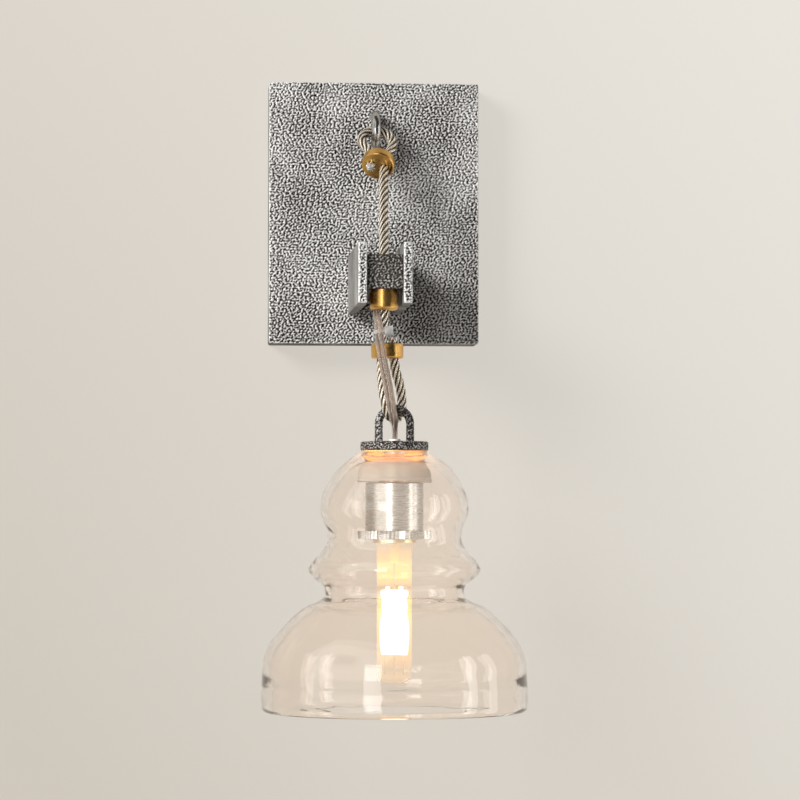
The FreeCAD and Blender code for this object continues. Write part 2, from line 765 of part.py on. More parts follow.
def make_cap():
    """The disc over the glass, with the lead's grommet, the threaded tube, its nut and the gasket."""
    bottom = cap_bottom_z
    lead_y = drop_y - lead_offset
    cap = post(cap_radius, bottom, cap_top_z, shade_x, drop_y)
    cap = cap.makeFillet(cap_edge, circles_at(cap, cap_radius, Vector(0, 0, 1)))
    for side in (-1, 1):
        cap = cap.cut(
            post(
                shackle_bar_radius + thread_gap, cap_top_z - shackle_thread - thread_gap,
                cap_top_z + overrun, shade_x + side * shackle_radius, drop_y,
            )
        )
    cap = cap.cut(
        post(nipple_radius + thread_gap, bottom - overrun, bottom + nipple_grip + thread_gap, shade_x, drop_y)
    )
    cap = cap.cut(post(grommet_radius + thread_gap, bottom, cap_top_z + overrun, shade_x, lead_y))
    save("cap", cap)

    sleeve = post(grommet_radius, bottom + nipple_grip + thread_gap * 2, cap_top_z, shade_x, lead_y)
    flange = post(
        grommet_flange_radius, cap_top_z, cap_top_z + grommet_flange_height, shade_x, lead_y
    )
    grommet = sleeve.fuse(flange).removeSplitter()
    bore = post(grommet_bore_radius, bottom, cap_top_z + grommet_flange_height + overrun, shade_x, lead_y)
    save("lead_grommet", grommet.cut(bore))

    nipple_top = bottom + nipple_grip
    save("nipple", tube(nipple_bore_radius, nipple_radius, nipple_bottom_z, nipple_top, shade_x, drop_y))
    nut_top = cup_top_z - cup_wall
    nut_bottom = nut_top - nipple_nut_height
    nut = hex_prism(
        nipple_nut_across_flats, nipple_nut_height, Vector(shade_x, drop_y, nut_bottom), Vector(0, 0, 1)
    )
    hole = post(nipple_radius + thread_gap, nut_bottom - overrun, nut_top + overrun, shade_x, drop_y)
    save("nipple_nut", nut.cut(hole))
    save(
        "shade_gasket",
        tube(nipple_radius + slide_gap, gasket_radius, bottom - gasket_thickness, bottom, shade_x, drop_y),
    )


def make_glass():
    """The thick pressed glass: stacked bells over a wide skirt, with a heavier band at the rim."""
    rim_z = glass_top_z - glass_height
    inner_radius = glass_radius - glass_wall
    outer = [Vector(glass_radius * r, 0, glass_top_z - glass_height * h) for r, h in glass_outer_shares]
    inner = [Vector(inner_radius * r, 0, glass_top_z - glass_height * h) for r, h in glass_inner_shares]
    outer_curve = Part.BSplineCurve()
    outer_curve.interpolate(outer)
    inner_curve = Part.BSplineCurve()
    inner_curve.interpolate(inner)
    band_radius = glass_radius - rim_band
    rim_side = outer[-1]
    rim_inner = Vector(band_radius, 0, rim_side.z)
    rim_middle = Vector((rim_side.x + band_radius) / 2, 0, rim_z)
    band_top = Vector(band_radius, 0, rim_z + rim_band_height)
    ceiling_z = glass_top_z - glass_top_wall
    flat_edge = Vector(glass_flat_radius, 0, ceiling_z)
    hole_low = Vector(glass_hole_radius, 0, ceiling_z)
    hole_high = Vector(glass_hole_radius, 0, glass_top_z)
    profile = Part.Wire([
        Part.LineSegment(hole_high, outer[0]).toShape(),
        outer_curve.toShape(),
        Part.Arc(rim_side, rim_middle, rim_inner).toShape(),
        Part.LineSegment(rim_inner, band_top).toShape(),
        Part.LineSegment(band_top, inner[0]).toShape(),
        inner_curve.toShape(),
        Part.LineSegment(inner[-1], flat_edge).toShape(),
        Part.LineSegment(flat_edge, hole_low).toShape(),
        Part.LineSegment(hole_low, hole_high).toShape(),
    ])
    shade = Part.Face(profile).revolve(Vector(0, 0, 0), Vector(0, 0, 1), 360)
    shade.translate(Vector(shade_x, drop_y, 0))
    save("glass_shade", shade)


def make_collar_and_cup():
    """Frosted collar, spacer tube, aluminium cup and the ribbed ring below it."""
    top = glass_top_z - glass_top_wall - collar_gap
    bottom = top - collar_height
    bore = nipple_radius + slide_gap
    collar = lathe(
        (
            (bore, top), (collar_top_radius, top), (collar_radius, bottom),
            (collar_radius - collar_wall, bottom), (collar_top_radius - collar_wall, top - collar_wall),
            (bore, top - collar_wall),
        ),
        shade_x, drop_y,
    )
    save("frosted_collar", collar)
    save("spacer_tube", tube(bore, spacer_radius, cup_top_z, top - collar_wall, shade_x, drop_y))

    cup_bottom = cup_top_z - cup_height
    cup = post(cup_radius, cup_bottom, cup_top_z, shade_x, drop_y)
    top_edge = [
        edge for edge in circles_at(cup, cup_radius, Vector(0, 0, 1))
        if edge.CenterOfMass.z > cup_top_z - overrun
    ]
    cup = cup.makeFillet(cup_edge, top_edge)
    cup = cup.cut(
        post(cup_radius - cup_wall, cup_bottom - overrun, cup_top_z - cup_wall, shade_x, drop_y)
    )
    cup = cup.cut(post(bore, cup_bottom, cup_top_z + overrun, shade_x, drop_y))
    save("socket_cup", cup)

    ring_top = cup_bottom - thread_gap
    outline = []
    for k in range(ring_ridges * 2):
        radius = ring_radius - (k % 2) * ring_ridge_depth
        turn = math.pi * k / ring_ridges
        outline.append(
            Vector(
                shade_x + radius * math.cos(turn), drop_y + radius * math.sin(turn), ring_top - ring_height
            )
        )
    ring = Part.Face(Part.makePolygon(outline + [outline[0]])).extrude(Vector(0, 0, ring_height))
    bore_low, bore_high = ring_top - ring_height - overrun, ring_top + overrun
    hole = post(socket_radius + thread_gap, bore_low, bore_high, shade_x, drop_y)
    save("retaining_ring", ring.cut(hole))


def make_socket():
    """Ceramic socket with its screw shell, centre contact and terminals."""
    bottom = socket_top_z - socket_height
    roof = socket_top_z - socket_roof
    body = post(socket_radius, bottom, socket_top_z, shade_x, drop_y)
    body = body.cut(post(shell_radius + thread_gap, bottom - overrun, roof, shade_x, drop_y))
    save("socket_body", body)
    shell = tube(shell_radius - shell_wall, shell_radius, roof - shell_height, roof, shade_x, drop_y)
    save("screw_shell", shell)
    save("centre_contact", post(contact_radius, roof - contact_thickness, roof, shade_x, drop_y))
    screws = []
    for side in (-1, 1):
        x = shade_x + side * terminal_x
        screws.append(post(terminal_radius, socket_top_z, socket_top_z + terminal_height, x, drop_y))
    save("terminal_screws", *screws)


def make_bulb():
    """Slim tubular bulb: contact tip, insulator, screw cap, glass, stem and filaments."""
    tip_top = socket_top_z - socket_roof - contact_thickness - slide_gap
    insulator_top = tip_top - bulb_tip_height
    insulator_bottom = insulator_top - bulb_insulator_height
    cap_bottom = insulator_bottom - bulb_cap_height
    cap_inner = bulb_cap_radius - bulb_cap_wall
    insulator = Part.makeCone(
        cap_inner, bulb_insulator_top_radius, bulb_insulator_height, Vector(shade_x, drop_y, insulator_bottom)
    )
    insulator = insulator.fuse(post(bulb_tip_radius, insulator_top, tip_top, shade_x, drop_y))
    save("bulb_insulator", insulator.removeSplitter())
    save("bulb_cap", tube(cap_inner, bulb_cap_radius, cap_bottom, insulator_bottom, shade_x, drop_y))

    skirt_top = insulator_bottom - slide_gap
    skirt_bottom = cap_bottom - thread_gap
    shoulder = skirt_bottom - bulb_shoulder
    end = bulb_bottom_z + bulb_radius
    outer = post(bulb_skirt_radius, skirt_bottom, skirt_top, shade_x, drop_y)
    outer = outer.fuse(
        Part.makeCone(bulb_radius, bulb_skirt_radius, bulb_shoulder, Vector(shade_x, drop_y, shoulder))
    )
    outer = outer.fuse(post(bulb_radius, end, shoulder, shade_x, drop_y))
    outer = outer.fuse(Part.makeSphere(bulb_radius, Vector(shade_x, drop_y, end)))
    bore = bulb_radius - bulb_wall
    hollow = post(bore, end, skirt_top - bulb_wall * 2, shade_x, drop_y)
    hollow = hollow.fuse(Part.makeSphere(bore, Vector(shade_x, drop_y, end)))
    glass = outer.cut(hollow).removeSplitter()
    save("bulb_glass", glass)

    stem_top = skirt_top - bulb_wall * 2
    stem_bottom = stem_top - stem_height
    stem = Part.makeCone(stem_radius / 2, stem_radius, stem_height, Vector(shade_x, drop_y, stem_bottom))
    save("bulb_stem", stem)

    rods = []
    for k in range(filament_count):
        turn = math.radians(360 * (k + 1 / 2) / filament_count)
        x = shade_x + filament_circle * math.cos(turn)
        y = drop_y + filament_circle * math.sin(turn)
        rods.append(post(filament_radius, filament_top_z - filament_length, filament_top_z, x, y))
    save("filaments", *rods)

    hub = post(stem_radius / 2, support_wire_bottom_z, stem_bottom, shade_x, drop_y)
    around = tube(
        support_wire_radius, stem_radius, support_wire_bottom_z - overrun, stem_bottom, shade_x, drop_y
    )
    hub = hub.cut(around)
    plate_radius = filament_circle + filament_radius
    for z in (filament_top_z, filament_top_z - filament_length - support_wire_radius * 2):
        hub = hub.fuse(post(plate_radius, z, z + support_wire_radius * 2, shade_x, drop_y))
    for side in (-1, 1):
        hub = hub.fuse(
            post(
                support_wire_radius, support_wire_bottom_z, filament_top_z - filament_length,
                shade_x + side * filament_circle, drop_y,
            )
        )
    save("filament_wires", hub.removeSplitter())


make_backplate()
make_crossbar()
make_arm()
make_eye()
make_bushing()
make_ferrules()
make_ropes()
make_leads()
make_connectors()
make_tie()
make_shackle()
make_cap()
make_glass()
make_collar_and_cup()
make_socket()
make_bulb()
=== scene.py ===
"""A wall sconce: a clear glass bell that hangs by a looped steel rope from a short hammered arm."""

import json
import logging
import math
from dataclasses import dataclass
from enum import Enum
from typing import Optional, Sequence

import bpy
import numpy as np
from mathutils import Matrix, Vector

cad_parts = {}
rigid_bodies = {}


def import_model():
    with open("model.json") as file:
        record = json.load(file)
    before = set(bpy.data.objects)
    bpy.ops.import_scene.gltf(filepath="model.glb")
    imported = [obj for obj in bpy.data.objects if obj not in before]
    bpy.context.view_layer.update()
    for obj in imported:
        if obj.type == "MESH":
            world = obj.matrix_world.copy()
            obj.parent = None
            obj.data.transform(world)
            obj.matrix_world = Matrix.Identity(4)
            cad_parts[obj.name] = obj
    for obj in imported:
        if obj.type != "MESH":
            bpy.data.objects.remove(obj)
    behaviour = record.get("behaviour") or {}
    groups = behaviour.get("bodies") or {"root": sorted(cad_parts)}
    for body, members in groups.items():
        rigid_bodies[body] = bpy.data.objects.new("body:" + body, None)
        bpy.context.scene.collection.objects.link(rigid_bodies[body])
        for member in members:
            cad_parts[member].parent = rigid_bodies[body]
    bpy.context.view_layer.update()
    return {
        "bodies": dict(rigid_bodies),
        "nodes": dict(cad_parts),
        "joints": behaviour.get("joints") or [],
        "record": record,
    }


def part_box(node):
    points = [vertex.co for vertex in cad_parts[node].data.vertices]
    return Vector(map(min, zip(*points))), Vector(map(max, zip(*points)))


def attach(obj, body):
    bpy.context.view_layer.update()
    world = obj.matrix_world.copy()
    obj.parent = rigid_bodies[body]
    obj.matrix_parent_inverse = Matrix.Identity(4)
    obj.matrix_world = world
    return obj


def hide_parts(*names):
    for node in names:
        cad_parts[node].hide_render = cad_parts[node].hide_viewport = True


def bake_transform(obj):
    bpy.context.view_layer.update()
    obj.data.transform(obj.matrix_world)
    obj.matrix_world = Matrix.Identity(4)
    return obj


LOG = logging.getLogger("sconce")
RELIEF = "relief"
TINY = 1e-6
# How far a cutter reaches past a surface, the steps in a rounded edge, the sides of a round core, and
# the angles under which edges are smooth on blocks and glass and on round bars and ropes
PAST = 0.001
EDGE_STEPS = 3
CORE_SIDES = 10
BLOCK_ANGLE = 50.0
ROUND_ANGLE = 60.0
Colour = tuple[float, float, float]
Place = tuple[float, float, float]

# Routes of the rope and the clear lead, in metres
UPPER_ROPE_ROUTE = (
    (-0.0046, -0.0578, 0.0244), (-0.0021, -0.0476, 0.0346), (-0.0106, -0.0402, 0.0434),
    (-0.0053, -0.0334, 0.0510), (0.0053, -0.0334, 0.0510), (0.0120, -0.0399, 0.0430),
    (0.0056, -0.0486, 0.0316), (0.0034, -0.0576, 0.0225), (0.0005, -0.1016, -0.0353),
    (0.0000, -0.1090, -0.0450), (0.0000, -0.1090, -0.0589),
)
LOWER_ROPE_ROUTE = (
    (0.0000, -0.1090, -0.0620), (0.0000, -0.1090, -0.0745), (-0.0017, -0.1090, -0.0855),
    (-0.0017, -0.1090, -0.1010), (-0.0015, -0.1152, -0.1150), (0.0006, -0.1173, -0.1267),
    (0.0037, -0.1127, -0.1336), (0.0087, -0.1053, -0.1336), (0.0118, -0.1007, -0.1267),
    (0.0106, -0.1026, -0.1135), (0.0059, -0.1060, -0.1010), (0.0059, -0.1060, -0.0836),
)
LEAD_UPPER_ROUTE = (
    (-0.0052, -0.1105, -0.0592), (-0.0052, -0.1105, -0.0706), (-0.0035, -0.1132, -0.0760),
    (-0.0034, -0.1136, -0.0840), (-0.0030, -0.1209, -0.0892), (-0.0018, -0.1211, -0.0975),
)
LEAD_LOWER_ROUTE = (
    (-0.0017, -0.1211, -0.0977), (0.0000, -0.1213, -0.1070), (0.0019, -0.1215, -0.1165),
    (0.0033, -0.1214, -0.1255), (0.0052, -0.1203, -0.1335), (0.0063, -0.1125, -0.1404),
    (0.0063, -0.1123, -0.1474),
)

# The tie: its band's middle line seen from above, its height at x 0, its slope, its section and its head,
# the height under which the upper lead is tied, and one that the lower lead never reaches; the leads don't
# use either
TIE_OUTLINE = (
    (0.0022, -0.1128), (0.0023, -0.1095), (0.0012, -0.1066), (-0.0012, -0.1058), (-0.0036, -0.1075),
    (-0.0058, -0.1112), (-0.0062, -0.1140), (-0.0045, -0.1165), (-0.0022, -0.1163), (0.0008, -0.1152),
)
TIE_HEIGHT = -0.0800
TIE_SLOPE = 0.26
TIE_THICKNESS = 0.0009
TIE_BAND_HEIGHT = 0.0020
TIE_HEAD_EDGE = 0.0009
TIED_BELOW = -0.082
UNTIED = -1.0
TIE_HEAD_LOW = (-0.0001, -0.1165, -0.0834)
TIE_HEAD_HIGH = (0.0051, -0.1123, -0.0777)

# Outline of the shade, top to rim: shares of its radius and height
GLASS_OUTER_SHARES = (
    (0.258, 0.0), (0.348, 0.031), (0.423, 0.063), (0.488, 0.109), (0.541, 0.165), (0.558, 0.220),
    (0.540, 0.259), (0.508, 0.302), (0.505, 0.344), (0.524, 0.367), (0.561, 0.392), (0.613, 0.421),
    (0.645, 0.448), (0.632, 0.470), (0.591, 0.491), (0.536, 0.515), (0.521, 0.540), (0.534, 0.561),
    (0.585, 0.579), (0.688, 0.603), (0.825, 0.667), (0.924, 0.728), (0.978, 0.787), (0.994, 0.859),
    (1.0, 0.930), (0.997, 0.975),
)
GLASS_INNER_SHARES = (
    (0.994, 0.860), (0.979, 0.802), (0.925, 0.744), (0.822, 0.684), (0.697, 0.628), (0.580, 0.592),
    (0.520, 0.572), (0.499, 0.548), (0.505, 0.520), (0.545, 0.497), (0.588, 0.474), (0.604, 0.449),
    (0.578, 0.425), (0.530, 0.402), (0.490, 0.373), (0.476, 0.344), (0.480, 0.303), (0.512, 0.262),
    (0.530, 0.221), (0.514, 0.176), (0.460, 0.126), (0.396, 0.085), (0.326, 0.057), (0.245, 0.037),
)
# Outline of the frosted dome: radius and depth under its top
COLLAR_OUTLINE = (
    (0.0150, 0.0), (0.0172, 0.0004), (0.0192, 0.0018), (0.0210, 0.0042), (0.0219, 0.0080), (0.0222, 0.0112),
    (0.0227, 0.0118), (0.0227, 0.0132),
)


class Body(Enum):
    """The moving groups of the sconce."""

    WALL = "wall_frame"
    ROPE = "lower_rope"
    SHADE = "shade"
    BULB = "bulb"


def only(obj: bpy.types.Object) -> None:
    """Select and activate one object alone, in object mode."""
    if bpy.context.object and bpy.context.object.mode != "OBJECT":
        bpy.ops.object.mode_set(mode="OBJECT")
    bpy.ops.object.select_all(action="DESELECT")
    obj.select_set(True)
    bpy.context.view_layer.objects.active = obj


def clear_selection() -> None:
    """Leave nothing selected."""
    bpy.ops.object.select_all(action="DESELECT")


def places_of(obj: bpy.types.Object) -> np.ndarray:
    """The object's vertex places, one row each."""
    flat = np.zeros(len(obj.data.vertices) * 3, np.float32)
    obj.data.vertices.foreach_get("co", flat)
    return flat.reshape(-1, 3).astype(float)


def set_places(obj: bpy.types.Object, places: np.ndarray) -> None:
    """Write vertex places back to the object."""
    obj.data.vertices.foreach_set("co", places.astype(np.float32).ravel())
    obj.data.update()


def normals_of(obj: bpy.types.Object) -> np.ndarray:
    """The object's vertex normals, one row each."""
    return np.array([vertex.normal[:] for vertex in obj.data.vertices], float).reshape(-1, 3)


def paint(obj: bpy.types.Object, values: np.ndarray) -> None:
    """Store the relief of each vertex, from 0 in the hollows to 1 on the ridges."""
    attribute = obj.data.attributes.get(RELIEF) or obj.data.attributes.new(RELIEF, "FLOAT", "POINT")
    attribute.data.foreach_set("value", values.astype(np.float32))


def enter_edit(obj: bpy.types.Object) -> None:
    """Enter edit mode on one object, with everything selected."""
    only(obj)
    bpy.ops.object.mode_set(mode="EDIT")
    bpy.ops.mesh.select_all(action="SELECT")


def leave_edit() -> None:
    """Go back to object mode."""
    bpy.ops.object.mode_set(mode="OBJECT")


def smooth(obj: bpy.types.Object, degrees: float = 35.0) -> None:
    """Smooth the shading of every edge flatter than an angle."""
    only(obj)
    bpy.ops.object.shade_smooth_by_angle(angle=math.radians(degrees))


def tidy_mesh(obj: bpy.types.Object) -> None:
    """Merge doubles and turn the faces outwards."""
    enter_edit(obj)
    bpy.ops.mesh.remove_doubles(threshold=TINY)
    bpy.ops.mesh.normals_make_consistent(inside=False)
    leave_edit()


def apply_place(obj: bpy.types.Object) -> None:
    """Move the object's place, turn and scale into its mesh."""
    only(obj)
    bpy.ops.object.transform_apply(location=True, rotation=True, scale=True)


def apply_modifier(obj: bpy.types.Object, kind: str, **settings: object) -> None:
    """Add a modifier with its settings and apply it.

    Args:
        obj: The mesh object.
        kind: The modifier's type.
        settings: Values for the modifier's properties.
    """
    only(obj)
    modifier = obj.modifiers.new(kind.title(), kind)
    for name, value in settings.items():
        setattr(modifier, name, value)
    bpy.ops.object.modifier_apply(modifier=modifier.name)


def linked(name: str, data: bpy.types.ID) -> bpy.types.Object:
    """A new object with its data, linked to the scene."""
    obj = bpy.data.objects.new(name, data)
    bpy.context.scene.collection.objects.link(obj)
    return obj


def from_lists(name: str, vertices: Sequence, faces: Sequence, edges: Sequence = ()) -> bpy.types.Object:
    """A new mesh object from vertices, faces and loose edges."""
    mesh = bpy.data.meshes.new(name)
    mesh.from_pydata([tuple(v) for v in vertices], list(edges), [tuple(f) for f in faces])
    return linked(name, mesh)


def cylinder(radius: float, sides: int, x: float, y: float, bottom: float, top: float) -> bpy.types.Object:
    """A round cutter along Z."""
    clear_selection()
    bpy.ops.mesh.primitive_cylinder_add(
        vertices=sides, radius=radius, depth=top - bottom, location=(x, y, (top + bottom) / 2)
    )
    cutter = bpy.context.object
    apply_place(cutter)
    return cutter


def boxed(low: Place, high: Place) -> bpy.types.Object:
    """A box between two corners."""
    clear_selection()
    bpy.ops.mesh.primitive_cube_add(size=1.0, location=[(a + b) / 2 for a, b in zip(low, high)])
    box = bpy.context.object
    box.scale = [b - a for a, b in zip(low, high)]
    apply_place(box)
    return box


def cut(obj: bpy.types.Object, cutter: bpy.types.Object) -> None:
    """Cut one object out of another, and remove the cutter."""
    apply_modifier(obj, "BOOLEAN", operation="DIFFERENCE", object=cutter, solver="EXACT")
    bpy.data.objects.remove(cutter)


def lathe(name: str, profile: Sequence[tuple[float, float]], steps: int, centre: Vector) -> bpy.types.Object:
    """Spin a line of radius and height about a vertical axis.

    Args:
        name: The new object's name.
        profile: Radius and height of each point, in order; a closed shape ends where it starts.
        steps: Divisions round the axis.
        centre: A point on the axis.

    Returns:
        The spun object, with its doubles merged and its faces outwards.
    """
    points = [(centre.x + radius, centre.y, height) for radius, height in profile]
    obj = from_lists(name, points, (), [(k, k + 1) for k in range(len(points) - 1)])
    enter_edit(obj)
    bpy.ops.mesh.spin(
        steps=steps, angle=math.tau, center=(centre.x, centre.y, 0), axis=(0, 0, 1), use_normal_flip=False
    )
    leave_edit()
    tidy_mesh(obj)
    return obj


def smooth_line(points: Sequence[tuple[float, float]], spans: int) -> list[tuple[float, float]]:
    """A smooth line through points in a plane, each run divided into the given number of spans."""
    ends = np.array(points, float)
    padded = np.vstack([2 * ends[0] - ends[1], ends, 2 * ends[-1] - ends[-2]])
    line = []
    for k in range(1, len(padded) - 2):
        before, here, there, after = padded[k - 1 : k + 3]
        for step in range(spans):
            t = step / spans
            line.append(
                0.5
                * (
                    2 * here
                    + (there - before) * t
                    + (2 * before - 5 * here + 4 * there - after) * t * t
                    + (3 * here - before - 3 * there + after) * t * t * t
                )
            )
    line.append(ends[-1])
    return [(float(r), float(z)) for r, z in line]


def dense_line(points: Sequence[tuple[float, float]], pitch: float) -> list[tuple[float, float]]:
    """The same straight runs with points no further apart than a pitch."""
    line = [points[0]]
    for start, end in zip(points, points[1:]):
        parts = max(1, math.ceil(math.dist(start, end) / pitch))
        for k in range(1, parts + 1):
            share = k / parts
            line.append((start[0] + (end[0] - start[0]) * share, start[1] + (end[1] - start[1]) * share))
    return line


def route_line(name: str, route: Sequence[Place]) -> np.ndarray:
    """The smooth line of a cord.

    Args:
        name: A name for the spline.
        route: The cord's chosen points, which are the spline's control points.

    Returns:
        Points along the spline, one row each.
    """
    curve = bpy.data.curves.new(name, "CURVE")
    curve.dimensions = "3D"
    spline = curve.splines.new("NURBS")
    spline.points.add(len(route) - 1)
    for point, place in zip(spline.points, route):
        point.co = (*place, 1.0)
    spline.order_u = 3
    spline.use_endpoint_u = True
    curve.resolution_u = 24
    holder = linked(name, curve)
    mesh = bpy.data.meshes.new_from_object(holder)
    line = np.array([vertex.co[:] for vertex in mesh.vertices], float)
    bpy.data.objects.remove(holder)
    bpy.data.meshes.remove(mesh)
    bpy.data.curves.remove(curve)
    return line


def even_line(line: np.ndarray, pitch: float) -> tuple[np.ndarray, np.ndarray]:
    """Points at an even pitch along a line, and how far along each lies."""
    runs = np.linalg.norm(np.diff(line, axis=0), axis=1)
    along = np.concatenate([[0.0], np.cumsum(runs)])
    wanted = np.linspace(0.0, along[-1], max(2, round(along[-1] / pitch) + 1))
    points = np.stack([np.interp(wanted, along, line[:, axis]) for axis in range(3)], axis=1)
    return points, wanted


def directions_of(line: np.ndarray) -> np.ndarray:
    """The unit direction of a line at each of its points."""
    headings = np.gradient(line, axis=0)
    return headings / np.linalg.norm(headings, axis=1, keepdims=True)


def carried_normals(line: np.ndarray, first: Place) -> tuple[np.ndarray, np.ndarray]:
    """Two crosswise directions at each point of a line, carried along it without twist.

    Args:
        line: Points along the line.
        first: A rough crosswise direction at the first point.

    Returns:
        The two directions at each point, one row each.
    """
    headings = directions_of(line)
    normals = np.zeros_like(line)
    normal = np.array(first, float)
    for k, heading in enumerate(headings):
        normal = normal - heading * (normal @ heading)
        normal /= np.linalg.norm(normal)
        normals[k] = normal
    return normals, np.cross(headings, normals)


def even_angles(count: int) -> np.ndarray:
    """Evenly spaced angles, once round."""
    return np.arange(count) * math.tau / count


def round_section(angles: np.ndarray, radius: float = 1.0) -> np.ndarray:
    """Offsets of a round outline at its angles."""
    return np.stack([np.cos(angles), np.sin(angles)], axis=-1) * radius


def swept(
    line: np.ndarray, side: np.ndarray, other: np.ndarray, sections: np.ndarray, start: int
) -> tuple[np.ndarray, list[tuple[int, ...]]]:
    """Vertices and faces of a closed tube along a line.

    Args:
        line: Points along the middle of the tube.
        side: First crosswise direction at each point.
        other: Second crosswise direction at each point.
        sections: The outline at each point, as offsets along the two directions.
        start: Number of vertices that come before these in the mesh.

    Returns:
        The vertices, and faces that count from start.
    """
    rings, around = sections.shape[:2]
    places = line[:, None] + sections[..., :1] * side[:, None] + sections[..., 1:] * other[:, None]
    faces = []
    for k in range(rings - 1):
        row, next_row = start + k * around, start + (k + 1) * around
        for j in range(around):
            beside = (j + 1) % around
            faces.append((row + j, row + beside, next_row + beside, next_row + j))
    faces.append(tuple(start + j for j in reversed(range(around))))
    faces.append(tuple(start + (rings - 1) * around + j for j in range(around)))
    return places.reshape(-1, 3), faces


@dataclass(frozen=True)
class Vermiculation:
    """A maze of worm-like ridges, made of plane waves of nearly one length.

    Attributes:
        period: Distance from ridge to ridge.
        spread: Standard deviation of the waves' rates, as a share of their mean.
        waves: Number of waves.
        crispness: How steep the ridges' sides are.
        seed: Start of the random numbers.
    """

    period: float = 0.00178
    spread: float = 0.27
    waves: int = 120
    crispness: float = 1.0
    seed: int = 7

    def heights(self, places: np.ndarray, flat_axis: Optional[int] = None) -> np.ndarray:
        """Height from 0 to 1 at each place.

        Args:
            places: Points, one row each.
            flat_axis: The axis that the surface faces, or None for a rounded surface.

        Returns:
            One height for each point.
        """
        random = np.random.default_rng(self.seed)
        ways = random.normal(size=(self.waves, 3))
        if flat_axis is not None:
            ways[:, flat_axis] = 0.0
        ways /= np.linalg.norm(ways, axis=1, keepdims=True)
        rates = (1 + self.spread * np.clip(random.normal(size=self.waves), -2, 2)) * math.tau / self.period
        phases = random.uniform(0, math.tau, self.waves)
        total = np.zeros(len(places))
        for way, rate, phase in zip(ways, rates, phases):
            total += np.cos(places @ way * rate + phase)
        return 0.5 + 0.5 * np.tanh(self.crispness * total / math.sqrt(self.waves / 2))


